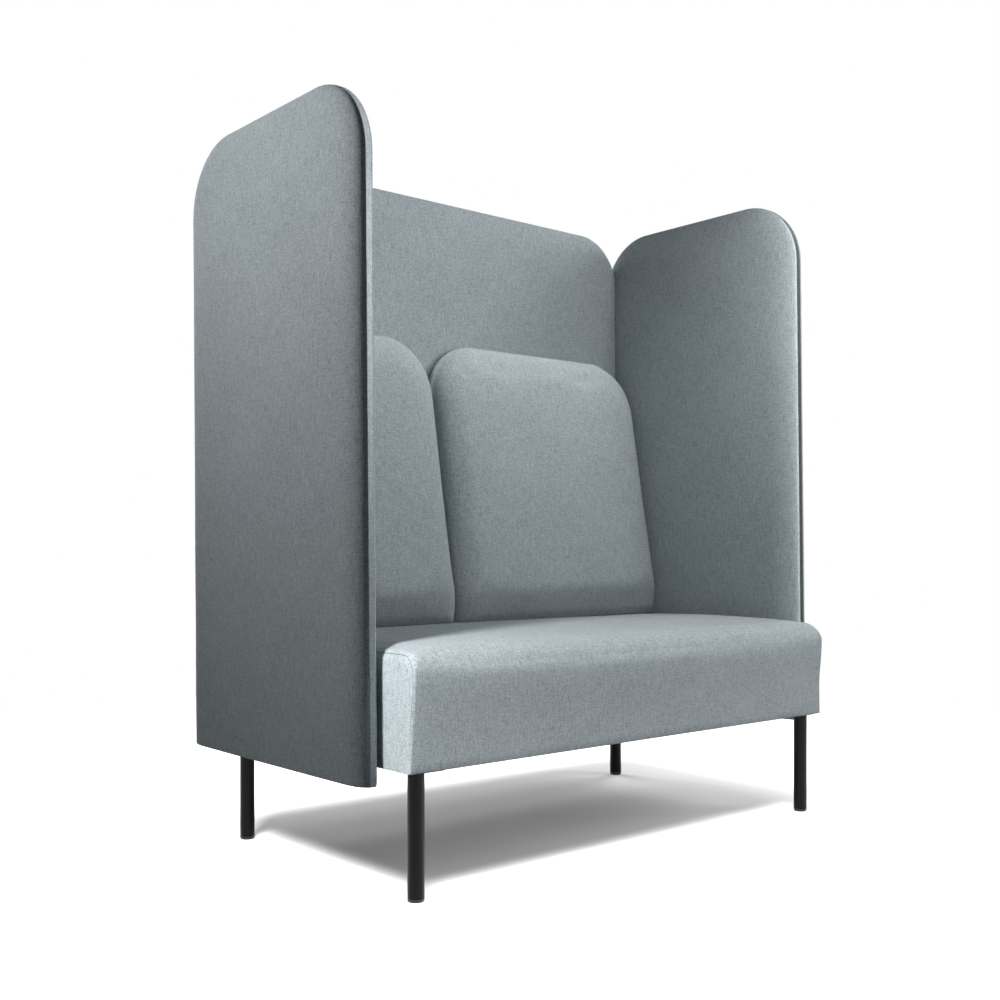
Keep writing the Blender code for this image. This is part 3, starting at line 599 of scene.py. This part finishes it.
def seat_ring(points, across, under):
    """One ring of the seat cover: its outline, then its fold and the room for the frame under it."""
    ring = []
    for x, (y, z) in zip(across, points):
        spot = Vector((x, y, z))
        free = min(1.0, (z - SEAT_BOTTOM) / SEAT_RIPPLE_RISE)
        near_seam = exp(-(SEAT_HALF - abs(x)) / SEAT_PUCKER_REACH)
        soft = free * (ripple(spot, SEAT_RIPPLE) + near_seam * ripple(spot, SEAT_PUCKER))
        ring.append(spot + Vector((0, -soft, soft)))
    x, underside, cavity_top = under
    front, rear, fold = SEAT_HEM + SEAT_SKIRT, SEAT_REAR - SEAT_SKIRT, SEAT_HEM + HEM_ROUND + SEAT_FOLD
    below = ((rear, underside), (rear, cavity_top), (front, cavity_top), (front, underside),
             (fold, underside), (fold, SEAT_BOTTOM))
    return ring + [Vector((x, y, z)) for y, z in below]


def seat_end_rings(sign, cavity_half):
    """Rings from where an end's corner starts to the middle of the end face, with the seam in the corner."""
    base = seat_outline(SEAT_HALF - SEAT_END_CORNER)
    corners = [seat_corner(y, z) for y, z in base]
    turns = [(angle, 0, 0) for angle in SEAT_TURNS_BEFORE]
    turns += [(SEAT_SEAM_ANGLE, offset, groove) for offset, groove in SEAT_SEAM_STEPS]
    turns += [(angle, 0, 0) for angle in SEAT_TURNS_AFTER]
    fold_x = SEAT_HALF - SEAT_END_FOLD
    unders = [(cavity_half, SEAT_UNDERSIDE, SEAT_CAVITY_TOP), (cavity_half, SEAT_UNDERSIDE, SEAT_UNDERSIDE),
              (fold_x, SEAT_UNDERSIDE, SEAT_UNDERSIDE), (fold_x, SEAT_BOTTOM, SEAT_BOTTOM)]
    unders += [(SEAT_HALF - SEAT_END_HEM, SEAT_BOTTOM, SEAT_BOTTOM)] * (len(turns) - len(unders) - 1)
    unders.append((SEAT_HALF, SEAT_BOTTOM, SEAT_BOTTOM))
    rings = []
    for (angle, offset, groove), (under_x, underside, cavity_top) in zip(turns, unders):
        depths, across = [], []
        for corner in corners:
            turn = radians(angle) + offset * SEAM_WIDTH / max(corner, SEAM_LEAST_RADIUS)
            radius = corner - groove * SEAM_GROOVE * corner / SEAT_END_CORNER
            depths.append(corner - radius * cos(turn))
            across.append(sign * (SEAT_HALF - corner + radius * sin(turn)))
        rings.append(seat_ring(drawn_in(base, depths), across, (sign * under_x, underside, cavity_top)))
    middle = Vector((sign * SEAT_HALF, (SEAT_HEM + SEAT_REAR) / 2, (SEAT_BOTTOM + SEAT_HEIGHT) / 2))
    edge = rings[-1]
    for share, rise in SEAT_END_STEPS:
        bulge = Vector((sign * rise, 0, 0))
        rings.append([middle + share * (spot - middle) + bulge for spot in edge])
    return rings


def add_seat(fabric):
    cavity_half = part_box("dust_cover")[1].x + GAP
    inner = SEAT_HALF - SEAT_END_CORNER
    places = [gap - inner for gap in SEAT_END_GAPS]
    middle = steps(places[-1], -places[-1], SEAT_SPACING)[1:-1]
    rings = seat_end_rings(-1, cavity_half)[::-1]
    for x in places + middle + [-place for place in places[::-1]]:
        outline = seat_outline(x)
        rings.append(seat_ring(outline, [x] * len(outline), (x, SEAT_UNDERSIDE, SEAT_CAVITY_TOP)))
    rings += seat_end_rings(1, cavity_half)
    shape = bmesh.new()
    tube(shape, rings)
    bmesh.ops.remove_doubles(shape, verts=shape.verts, dist=SAME_POINT)
    piece = add_piece("seat_cover", shape, fabric, ["seat_cushion"])
    held = [vert.index for vert in piece.data.vertices
            if vert.co.z < SEAT_HEIGHT - SEAT_NOSE_RADIUS or vert.co.y > SEAT_HELD_REAR
            or abs(vert.co.x) > inner - SEAT_HELD_END]
    inflate(piece, held)


def cushion_depth(up):
    """Depth of a back cushion at a level: fullest a little above the seat, thinner towards the top."""
    if up < CUSHION_BULGE:
        share = (CUSHION_BULGE - up) / (CUSHION_BULGE - CUSHION_BOTTOM)
        return CUSHION_FOOT_DEPTH - CUSHION_TUCK * share ** 2
    share = (up - CUSHION_BULGE) / (CUSHION_TOP - CUSHION_BULGE)
    return CUSHION_FOOT_DEPTH + share * (CUSHION_TOP_DEPTH - CUSHION_FOOT_DEPTH)


def add_back_cushion(side, sign, left, right, fabric):
    """A wedge cushion: round in to its sides and top, turned under at its foot, sewn along its rear edge."""
    width, middle = right - left, (left + right) / 2
    height = CUSHION_TOP - CUSHION_BOTTOM
    outline = (width, CUSHION_TOP, CUSHION_CORNER)

    def spot_at(across, up, depth):
        rise = sin(pi * clamped((up - CUSHION_BOTTOM) / height))
        drawn = across * (1 - 2 * CUSHION_DRAW / width * rise)
        return Vector((middle + drawn, lean(CUSHION_REAR, up) - depth, up))

    rows = []
    for up in arch_levels(CUSHION_BOTTOM, CUSHION_TOP, CUSHION_CORNER, CUSHION_FOOT_RISES):
        row = []
        full = cushion_depth(up)
        most_sunk = full - CUSHION_SEAM_FROM_REAR - CUSHION_LEAST_WALL
        foot = CUSHION_FOOT_ROUND * (1 - rounded((up - CUSHION_BOTTOM) / CUSHION_FOOT_ROUND))
        for across in across_places(arch_half(*outline, up), width):
            inset = max(0.0, arch_inset(*outline, across, up))
            wall_share = 0.5 + sign * across / width
            reach = CUSHION_ROUND + (CUSHION_WALL_ROUND - CUSHION_ROUND) * wall_share
            sunk = min(reach, most_sunk) * (1 - rounded(inset / reach))
            crowned = 1 - exp(-max(0.0, inset - CUSHION_ROUND / 2) / CUSHION_CROWN_REACH)
            depth = full - max(foot, sunk) - CUSHION_CORNER_SINK * min(foot, sunk) + CUSHION_CROWN * crowned
            spot = spot_at(across, up, depth)
            depth += sum(ripple(spot, unevenness) for unevenness in CUSHION_RIPPLES[side])
            row.append(spot_at(across, up, depth))
        rows.append(row)
    shape = bmesh.new()
    verts = grid(shape, rows)
    rim = [row[0] for row in verts[:-1]] + verts[-1] + [row[-1] for row in verts[-2::-1]] + verts[0][-2:0:-1]
    add_cushion_wall(shape, rim, middle, width)
    name = f"back_cushion_cover_{side}"
    piece = add_piece(name, shape, fabric, [f"back_cushion_{side}"])
    held = [vert.index for vert in piece.data.vertices
            if lean(CUSHION_REAR, vert.co.z) - vert.co.y < CUSHION_SEAM_FROM_REAR + CUSHION_HELD_SEAM
            or vert.co.z < CUSHION_BOTTOM + CUSHION_HELD_FOOT]
    inflate(piece, held, (left - CUSHION_SIDE_SLACK, right + CUSHION_SIDE_SLACK))


def add_cushion_wall(shape, rim, middle, width):
    """The wall behind a cushion's front: a sewn valley, then a strip with a round rear edge."""
    seam, rear = CUSHION_SEAM_FROM_REAR, CUSHION_REAR_ROUND
    wall = [(seam + CUSHION_SEAM_START, 0.0)]
    for share in CUSHION_SEAM_STEPS:
        valley = CUSHION_SEAM_DEPTH * (1 - abs(share)) ** CUSHION_SEAM_POWER
        wall.append((seam + CUSHION_SEAM_HALF * share, valley))
    for k in range(CUSHION_REAR_STEPS + 1):
        angle = pi / 2 * k / CUSHION_REAR_STEPS
        wall.append((rear * (1 - sin(angle)), rear * (1 - cos(angle))))
    ways = []
    for vert in rim:
        across, up = vert.co.x - middle, vert.co.z
        past_side, past_top = past_corner(width, CUSHION_TOP, CUSHION_CORNER, across, up)
        if past_side > 0 and past_top > 0:
            ways.append(Vector((copysign(past_side, across), past_top)).normalized())
        elif up > CUSHION_TOP - 1e-5:
            ways.append(Vector((0.0, 1.0)))
        elif abs(across) > width / 2 - CUSHION_SIDE_BELT:
            ways.append(Vector((copysign(1.0, across), 0.0)))
        else:
            ways.append(Vector((0.0, -1.0)))
    loops = [rim]
    for depth, sunk in wall:
        loop = []
        for vert, way in zip(rim, ways):
            up = vert.co.z
            own_depth = lean(CUSHION_REAR, up) - vert.co.y
            y = lean(CUSHION_REAR, up) - min(depth, own_depth)
            loop.append(shape.verts.new((vert.co.x - way.x * sunk, y, up - max(0.0, way.y) * sunk)))
        loops.append(loop)
    bridge(shape, loops)
    shape.faces.new(loops[-1])
    bmesh.ops.remove_doubles(shape, verts=shape.verts, dist=SAME_POINT)


def add_back_cushions(fabric):
    add_back_cushion("left", -1, -CUSHION_SIDE, CUSHION_SPLIT - CUSHION_SPLIT_GAP / 2, fabric)
    add_back_cushion("right", 1, CUSHION_SPLIT + CUSHION_SPLIT_GAP / 2, CUSHION_SIDE, fabric)


def inflate(piece, held, sides=None):
    """Lets the fill push a cover out from its held points, with each point's move capped."""
    start = np.array([vert.co for vert in piece.data.vertices])
    piece.vertex_groups.new(name="held").add(held, 1.0, "REPLACE")
    cloth = piece.modifiers.new("fill", "CLOTH")
    for setting, value in FILL_SETTINGS.items():
        setattr(cloth.settings, setting, value)
    cloth.settings.vertex_group_mass = "held"
    cloth.settings.effector_weights.gravity = 0
    cloth.collision_settings.use_collision = False
    cloth.point_cache.frame_start = 1
    cloth.point_cache.frame_end = FILL_FRAMES
    for step in range(1, FILL_FRAMES + 1):
        scene.frame_set(step)
    filled = piece.evaluated_get(bpy.context.evaluated_depsgraph_get()).data
    move = np.array([vert.co for vert in filled.vertices]) - start
    move = even_out(move, piece.data, held)
    length = np.linalg.norm(move, axis=1, keepdims=True)
    moved = start + move * np.minimum(1.0, FILL_REACH / np.maximum(length, 1e-9))
    if sides is not None:
        moved[:, 0] = np.clip(moved[:, 0], *sides)
    piece.modifiers.clear()
    piece.vertex_groups.clear()
    piece.data.vertices.foreach_set("co", moved.ravel())
    piece.data.update()
    scene.frame_set(1)


def even_out(move, mesh, held):
    """Averages each free point's move with its neighbours', so that the fill leaves no sharp creases."""
    ends = np.array([edge.vertices for edge in mesh.edges])
    count = np.bincount(ends.ravel(), minlength=len(move))[:, None]
    for _ in range(FILL_SMOOTHING):
        total = np.zeros_like(move)
        np.add.at(total, ends[:, 0], move[ends[:, 1]])
        np.add.at(total, ends[:, 1], move[ends[:, 0]])
        move = 0.5 * move + 0.5 * total / count
        move[held] = 0
    return move


# Fittings under the seat
def add_plate_screws(coat):
    """Socket screws in the four holes of each leg plate, head down."""
    for end in ENDS:
        for side, _ in SIDES:
            low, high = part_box(f"leg_plate_{end}_{side}")
            shape = bmesh.new()
            for x in (low.x + SCREW_INSET, high.x - SCREW_INSET):
                for y in (low.y + SCREW_INSET, high.y - SCREW_INSET):
                    add_screw_head(shape, Vector((x, y, low.z)), SCREW_TURN[0] * x + SCREW_TURN[1] * y)
            add_piece(f"leg_plate_screws_{end}_{side}", shape, coat)


def add_screw_head(shape, seat, turn):
    """One domed head with a six-sided socket, on the underside of a plate."""
    rings = []
    for radius, drop, six_sided in SCREW_PROFILE:
        ring = []
        for k in range(SCREW_SIDES):
            angle = 2 * pi * k / SCREW_SIDES
            flat = angle % (pi / 3) - pi / 6
            reach = radius / cos(flat) if six_sided else radius
            angle += turn
            ring.append(seat + Vector((reach * cos(angle), reach * sin(angle), -drop)))
        rings.append(ring)
    tube(shape, rings)


def add_dust_cloth(cloth, zinc):
    """The cloth stapled under the seat frame, with a slight sag between its edges."""
    low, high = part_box("dust_cover")
    xs, ys = steps(low.x, high.x, COARSE_SPACING), steps(low.y, high.y, COARSE_SPACING)
    shape = bmesh.new()
    layers = []
    for level in (low.z, low.z + CLOTH_THICKNESS):
        rows = []
        for y in ys:
            along = (y - low.y) / (high.y - low.y)
            row = []
            for x in xs:
                across = (x - low.x) / (high.x - low.x)
                sag = CLOTH_SAG * sin(pi * along) * sin(pi * across) ** CLOTH_SAG_POWER
                sag += ripple((x, y, 0), CLOTH_RIPPLE) * min(1.0, CLOTH_RIPPLE_RISE * sag / CLOTH_SAG)
                row.append(Vector((x, y, level - max(0.0, sag))))
            rows.append(row)
        layers.append(grid(shape, rows))
    rims = [rows[0] + [row[-1] for row in rows[1:-1]] + rows[-1][::-1] + [row[0] for row in rows[-2:0:-1]]
            for rows in layers]
    bridge(shape, rims)
    sheet = add_piece("dust_cloth_sheet", shape, cloth, ["dust_cover"])
    staples = bmesh.new()
    for x in steps(low.x + STAPLE_START, high.x - STAPLE_START, STAPLE_PITCH):
        for y in (low.y + STAPLE_INSET, high.y - STAPLE_INSET):
            add_staple(staples, Vector((x, y, low.z)), Vector((1, STAPLE_SKEW, 0)))
    for y in steps(low.y + STAPLE_START, high.y - STAPLE_START, STAPLE_PITCH):
        for x in (low.x + STAPLE_INSET, high.x - STAPLE_INSET):
            add_staple(staples, Vector((x, y, low.z)), Vector((STAPLE_SKEW, 1, 0)))
    add_piece("dust_cloth_staples", staples, zinc)


def add_staple(shape, spot, way):
    """A flat wire staple with its legs turned up into the rail."""
    way = way.normalized()
    aside = Vector((-way.y, way.x, 0)) * STAPLE_WIRE / 2
    half = STAPLE_WIDTH / 2
    leg = ((half, STAPLE_LEG), (half, -STAPLE_BEND[1]), (half - STAPLE_BEND[0], -STAPLE_DROP))
    rings = []
    for along, up in [(-along, up) for along, up in leg] + list(leg[::-1]):
        toward = Vector((0, 0, STAPLE_WIRE / 2))
        if abs(along) >= half:
            toward = way * copysign(STAPLE_WIRE / 2, -along)
        middle = spot + way * along + Vector((0, 0, up))
        rings.append([middle - aside, middle + aside, middle + aside + toward, middle - aside + toward])
    tube(shape, rings)


# Shader nodes
def feed(tree, socket, value):
    """Links an output to an input, or sets the input where the value is plain."""
    if isinstance(value, bpy.types.NodeSocket):
        tree.links.new(value, socket)
    else:
        socket.default_value = value


def add_node(tree, kind, inputs=(), **settings):
    node = tree.nodes.new(f"ShaderNode{kind}")
    for key, value in settings.items():
        setattr(node, key, value)
    for name, value in dict(inputs).items():
        feed(tree, node.inputs[name], value)
    return node


def maths(tree, operation, *values):
    return add_node(tree, "Math", dict(enumerate(values)), operation=operation).outputs[0]


def times(tree, first, second):
    return maths(tree, "MULTIPLY", first, second)


def centred(tree, value):
    """A value from 0 to 1, moved to lie about 0."""
    return maths(tree, "SUBTRACT", value, 0.5)


def choose(tree, switch, off, on):
    """One value where a switch is 0, and another where it is 1."""
    return maths(tree, "MULTIPLY_ADD", switch, maths(tree, "SUBTRACT", on, off), off)


def vector(tree, x, y, z=0.0):
    return add_node(tree, "CombineXYZ", {"X": x, "Y": y, "Z": z}).outputs[0]


def split(tree, kind, output):
    """X, Y and Z of a source's vector."""
    return add_node(tree, "SeparateXYZ", {"Vector": add_node(tree, kind).outputs[output]}).outputs


def noise_at(tree, place, scale, detail=2.0, rough=0.5):
    inputs = {"Vector": place, "Scale": scale, "Detail": detail, "Roughness": rough}
    return add_node(tree, "TexNoise", inputs).outputs["Fac"]


def blend(tree, factor, first, second):
    """Colour between two colours by a factor."""
    inputs = {"Factor": factor, "A": first, "B": second}
    return add_node(tree, "Mix", inputs, data_type="RGBA").outputs["Result"]


def spread(tree, value, low, high, out_low=0.0, out_high=1.0):
    """A value stretched from one range to another, and kept inside it."""
    inputs = {"Value": value, "From Min": low, "From Max": high, "To Min": out_low, "To Max": out_high}
    return add_node(tree, "MapRange", inputs).outputs["Result"]


def new_group(name, inputs):
    """An empty shader group, with what goes in and what it has to give."""
    tree = bpy.data.node_groups.new(name, "ShaderNodeTree")
    for socket, kind in inputs.items():
        tree.interface.new_socket(socket, in_out="INPUT", socket_type=kind)
    for socket, kind in GROUP_OUTPUTS.items():
        tree.interface.new_socket(socket, in_out="OUTPUT", socket_type=kind)
    return tree, tree.nodes.new("NodeGroupInput").outputs, tree.nodes.new("NodeGroupOutput").inputs


def flat_places(tree):
    """Two places along the surface: up the wall or along a level face, chosen by the way the face looks."""
    place = split(tree, "TexCoord", "Object")
    facing = split(tree, "NewGeometry", "Normal")
    x, y, z = (maths(tree, "ABSOLUTE", facing[axis]) for axis in "XYZ")
    sideways = maths(tree, "GREATER_THAN", x, maths(tree, "MAXIMUM", y, z))
    level = maths(tree, "GREATER_THAN", z, maths(tree, "MAXIMUM", x, y))
    return choose(tree, sideways, place["X"], place["Y"]), choose(tree, level, place["Z"], place["Y"])


def weave_group():
    """Plain weave of flecked yarns: colour with painted shade between the yarns, roughness and height."""
    tree, given, made = new_group("melange_weave", {
        "Pale Yarn": COLOR, "Dark Yarn": COLOR, "Yarn Pitch": VALUE, "Fleck": VALUE, "Streak": VALUE})
    across, along = flat_places(tree)
    flat = vector(tree, across, along)
    sway = centred(tree, noise_at(tree, flat, 45.0))

    def yarns(place, swayed):
        """Yarns side by side: the count up to a place, the yarn's number there and its round section."""
        count = maths(tree, "DIVIDE", place, given["Yarn Pitch"])
        count = maths(tree, "ADD", count, times(tree, sway, swayed))
        section = maths(tree, "SINE", times(tree, maths(tree, "FRACT", count), pi))
        return count, maths(tree, "FLOOR", count), section

    warp, warp_number, warp_round = yarns(across, 0.7)
    weft, weft_number, weft_round = yarns(along, -0.5)
    over = maths(tree, "PINGPONG", maths(tree, "ADD", warp_number, weft_number), 1.0)
    warp_crest = times(tree, warp_round, maths(tree, "POWER", weft_round, 0.45))
    weft_crest = times(tree, weft_round, maths(tree, "POWER", warp_round, 0.45))
    crest = choose(tree, over, warp_crest, weft_crest)

    numbers = vector(tree, warp_number, weft_number)
    crossing = add_node(tree, "TexWhiteNoise", {"Vector": numbers}, noise_dimensions="2D").outputs["Value"]
    warp_slub = noise_at(tree, vector(tree, warp_number, times(tree, weft, 0.09)), 0.83, 3.0, 0.65)
    weft_slub = noise_at(tree, vector(tree, times(tree, warp, 0.11), weft_number, 40.0), 0.83, 3.0, 0.65)
    slub = choose(tree, over, warp_slub, weft_slub)
    stretched = vector(tree, times(tree, across, 260.0), times(tree, along, 28.0))
    streaks = noise_at(tree, stretched, 1.0, 3.0, 0.6)
    shade = noise_at(tree, flat, 7.0, 2.0)
    fleck = times(tree, centred(tree, crossing), 0.55)
    fleck = maths(tree, "ADD", fleck, times(tree, centred(tree, slub), 1.5))
    tone = maths(tree, "MULTIPLY_ADD", fleck, given["Fleck"], 0.5)
    tone = maths(tree, "MULTIPLY_ADD", centred(tree, streaks), given["Streak"], tone)
    tone = maths(tree, "MULTIPLY_ADD", centred(tree, shade), 0.18, tone)
    tone = maths(tree, "MINIMUM", maths(tree, "MAXIMUM", tone, 0.0), 1.0)
    yarn = blend(tree, tone, given["Dark Yarn"], given["Pale Yarn"])
    # Painted shade: the yarn colour is darkened to two thirds in the hollows between the yarn crests.
    gap = spread(tree, crest, 0.0, 0.55, 0.66, 1.0)
    yarn_with_painted_shade = add_node(tree, "VectorMath", {0: yarn, "Scale": gap}, operation="SCALE")
    feed(tree, made["Color"], yarn_with_painted_shade.outputs[0])
    feed(tree, made["Roughness"], spread(tree, crossing, 0.0, 1.0, 0.82, 0.97))
    feed(tree, made["Height"], maths(tree, "MULTIPLY_ADD", crossing, 0.18, crest))
    return tree


def grain_group():
    """Sawn wood: wavy growth bands and fine pores."""
    tree, given, made = new_group("wood_grain", {"Pale Wood": COLOR, "Dark Wood": COLOR, "Band": VALUE})
    across, along = flat_places(tree)
    stretched = vector(tree, times(tree, across, 0.12), along)
    warped = maths(tree, "MULTIPLY_ADD", noise_at(tree, stretched, 14.0, 3.0), 0.03, along)
    rings = maths(tree, "SINE", maths(tree, "DIVIDE", warped, given["Band"]))
    pores = noise_at(tree, vector(tree, times(tree, across, 60.0), times(tree, along, 1500.0)), 1.0, 2.0)
    tone = maths(tree, "MULTIPLY_ADD", rings, 0.28, maths(tree, "MULTIPLY_ADD", pores, 0.5, 0.2))
    wood = blend(tree, spread(tree, tone, 0.0, 1.0), given["Pale Wood"], given["Dark Wood"])
    feed(tree, made["Color"], wood)
    feed(tree, made["Roughness"], spread(tree, pores, 0.2, 0.8, 0.5, 0.72))
    feed(tree, made["Height"], pores)
    return tree


def coat_group():
    """A sprayed or moulded surface: fine orange peel, faint scuffs and settled dust on level faces."""
    tree, given, made = new_group("coat_wear", {
        "Coat": COLOR, "Scuff": COLOR, "Dust": COLOR, "Grain Size": VALUE})
    place = add_node(tree, "TexCoord").outputs["Object"]
    upward = split(tree, "NewGeometry", "Normal")["Z"]
    grain = noise_at(tree, place, maths(tree, "DIVIDE", 1.0, given["Grain Size"]), 2.0)
    scuffs = noise_at(tree, place, 38.0, 6.0, 0.72)
    scuffed = spread(tree, scuffs, 0.60, 0.78)
    dusty = times(tree, spread(tree, upward, 0.35, 0.95),
                  spread(tree, noise_at(tree, place, 160.0, 4.0), 0.35, 0.75, 0.05, 0.5))
    worn = blend(tree, times(tree, scuffed, 0.45), given["Coat"], given["Scuff"])
    feed(tree, made["Color"], blend(tree, dusty, worn, given["Dust"]))
    rough = spread(tree, grain, 0.25, 0.75, 0.34, 0.48)
    feed(tree, made["Roughness"], maths(tree, "MULTIPLY_ADD", scuffed, 0.18, rough))
    feed(tree, made["Height"], grain)
    return tree


def add_material(name, group, values, bump, **shader):
    """A surface from one of the groups, with its plain values set on the shader itself."""
    material = bpy.data.materials.new(name)
    material.use_nodes = True
    tree = material.node_tree
    surface = tree.nodes["Principled BSDF"]
    source = add_node(tree, "Group", values, node_tree=group)
    feed(tree, surface.inputs["Base Color"], source.outputs["Color"])
    feed(tree, surface.inputs["Roughness"], source.outputs["Roughness"])
    strength, distance = bump
    height = source.outputs["Height"]
    relief = add_node(tree, "Bump", {"Strength": strength, "Distance": distance, "Height": height})
    feed(tree, surface.inputs["Normal"], relief.outputs["Normal"])
    for socket, value in shader.items():
        surface.inputs[socket.replace("_", " ")].default_value = value
    return material


def add_materials():
    weave, grain, coat = weave_group(), grain_group(), coat_group()

    def cloth(name, pale, dark, pitch, fleck, streak, bump, **shader):
        values = {"Pale Yarn": pale, "Dark Yarn": dark, "Yarn Pitch": pitch, "Fleck": fleck, "Streak": streak}
        return add_material(name, weave, values, bump, **shader)

    def wood(name, pale, dark, band):
        values = {"Pale Wood": pale, "Dark Wood": dark, "Band": band}
        return add_material(name, grain, values, (0.25, 0.0003))

    def coated(name, base, scuff, grain_size, bump, **shader):
        values = {"Coat": base, "Scuff": scuff, "Dust": DUST_COLOR, "Grain Size": grain_size}
        return add_material(name, coat, values, bump, **shader)

    return {
        "fabric": cloth(
            "grey_melange_fabric", (0.545, 0.61, 0.635, 1), (0.195, 0.228, 0.246, 1), 0.0017, 0.82, 0.58,
            (0.55, 0.0006), Sheen_Weight=0.12, Sheen_Roughness=0.45, Specular_IOR_Level=0.2),
        "webbing": cloth(
            "elastic_webbing", (0.085, 0.085, 0.09, 1), (0.03, 0.03, 0.033, 1), 0.0022, 0.6, 0.3,
            (0.6, 0.0008), Specular_IOR_Level=0.3),
        "dust_cloth": cloth(
            "black_underside_cloth", (0.032, 0.032, 0.034, 1), (0.012, 0.012, 0.013, 1), 0.0011, 0.9, 0.5,
            (0.4, 0.0003), Specular_IOR_Level=0.25),
        "plywood": wood("birch_plywood", (0.62, 0.45, 0.27, 1), (0.40, 0.26, 0.13, 1), 0.0016),
        "timber": wood("planed_pine", (0.66, 0.49, 0.30, 1), (0.46, 0.30, 0.15, 1), 0.0050),
        "black_steel": coated(
            "black_powder_coat", (0.004, 0.004, 0.0045, 1), (0.010, 0.010, 0.011, 1), 0.0007,
            (0.35, 0.0002), Specular_IOR_Level=0.12),
        "black_plastic": coated(
            "black_moulded_plastic", (0.014, 0.014, 0.015, 1), (0.03, 0.03, 0.031, 1), 0.0011,
            (0.4, 0.0002), Specular_IOR_Level=0.4),
        "zinc_steel": coated(
            "zinc_plated_steel", (0.56, 0.56, 0.57, 1), (0.40, 0.40, 0.42, 1), 0.0009,
            (0.2, 0.0001), Metallic=1.0),
    }


def dress_nodes(materials):
    """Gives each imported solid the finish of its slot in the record."""
    for entry in frame["record"]["subparts"]:
        node = frame["nodes"][entry["node"]]
        node.data.materials.clear()
        node.data.materials.append(materials[entry["material_slot"]])


# Camera, light and floor
def add_camera():
    camera = add_object("camera", bpy.data.cameras.new("camera"))
    camera.data.sensor_width = CAMERA_SENSOR
    camera.data.lens = CAMERA_LENS
    camera.data.shift_y = CAMERA_SHIFT
    camera.location = CAMERA_PLACE
    camera.rotation_euler = (radians(90), 0, radians(CAMERA_TURN))
    scene.camera = camera


def gather(name, pieces):
    """A set of pieces by name, for a lamp."""
    gathered = bpy.data.collections.new(name)
    for piece in pieces:
        gathered.objects.link(bpy.data.objects[piece])
    return gathered


def add_lamp(name, place, target, size, beam, power, links):
    """A softbox that the camera doesn't see, for everything or only for the named pieces."""
    data = bpy.data.lights.new(name, "AREA")
    data.shape = "RECTANGLE"
    data.size, data.size_y = size
    data.spread = radians(beam)
    data.energy = power
    lamp = add_object(name, data)
    lamp.location = place
    lamp.rotation_euler = (Vector(target) - Vector(place)).to_track_quat("-Z", "Y").to_euler()
    lamp.visible_camera = False
    if "lit" in links:
        lamp.light_linking.receiver_collection = gather(f"{name}_lights", links["lit"])
    if "unlit" in links:
        left_out = gather(f"{name}_leaves_out", links["unlit"])
        for member in left_out.collection_objects:
            member.light_linking.link_state = "EXCLUDE"
        lamp.light_linking.receiver_collection = left_out
    if "shades" in links:
        lamp.light_linking.blocker_collection = gather(f"{name}_shades", links["shades"])


def end_in(tree, output, seen, unseen):
    """Ends a tree in one shader for what the camera, mirrors and glass see, and another for other light."""
    path = add_node(tree, "LightPath").outputs
    looks = maths(tree, "MAXIMUM", path["Is Camera Ray"],
                  maths(tree, "MAXIMUM", path["Is Glossy Ray"], path["Is Transmission Ray"]))
    mix = add_node(tree, "MixShader", {0: looks, 1: unseen, 2: seen})
    feed(tree, tree.nodes[output].inputs["Surface"], mix.outputs[0])


def add_world():
    world = bpy.data.worlds.new("studio")
    scene.world = world
    world.use_nodes = True
    tree = world.node_tree
    fill = tree.nodes["Background"]
    fill.inputs["Color"].default_value = FILL_COLOR
    fill.inputs["Strength"].default_value = FILL
    white = add_node(tree, "Background", {"Color": WHITE, "Strength": 1.0})
    end_in(tree, "World Output", white.outputs[0], fill.outputs[0])


def add_floor():
    """A pale floor that keeps the sofa's shadow and runs out into white."""
    shape = bmesh.new()
    bmesh.ops.create_circle(shape, cap_ends=True, segments=FLOOR_SIDES, radius=FLOOR_RADIUS)
    floor = add_mesh("floor", shape)
    material = bpy.data.materials.new("pale_floor")
    material.use_nodes = True
    floor.data.materials.append(material)
    tree = material.node_tree
    tree.nodes.remove(tree.nodes["Principled BSDF"])
    place = add_node(tree, "TexCoord").outputs["Object"]
    distance = add_node(tree, "VectorMath", {0: place}, operation="LENGTH").outputs["Value"]
    far = spread(tree, distance, *FLOOR_FADE)
    speckle = noise_at(tree, place, FLOOR_SPECKLE, 3.0)
    near = add_node(tree, "BsdfDiffuse", {"Color": blend(tree, speckle, *FLOOR_SEEN)})
    white = add_node(tree, "Emission", {"Color": WHITE, "Strength": 1.0})
    seen = add_node(tree, "MixShader", {0: far, 1: near.outputs[0], 2: white.outputs[0]})
    bounce = add_node(tree, "BsdfDiffuse", {"Color": blend(tree, speckle, *FLOOR_BOUNCE)})
    end_in(tree, "Material Output", seen.outputs[0], bounce.outputs[0])


materials = add_materials()
dress_nodes(materials)
add_panels(materials["fabric"])
add_seat(materials["fabric"])
add_back_cushions(materials["fabric"])
add_plate_screws(materials["black_steel"])
add_dust_cloth(materials["dust_cloth"], materials["zinc_steel"])

add_camera()
add_world()
add_floor()
for name, *lamp in LAMPS:
    add_lamp(f"{name}_softbox", *lamp)
scene.view_settings.view_transform = "Standard"
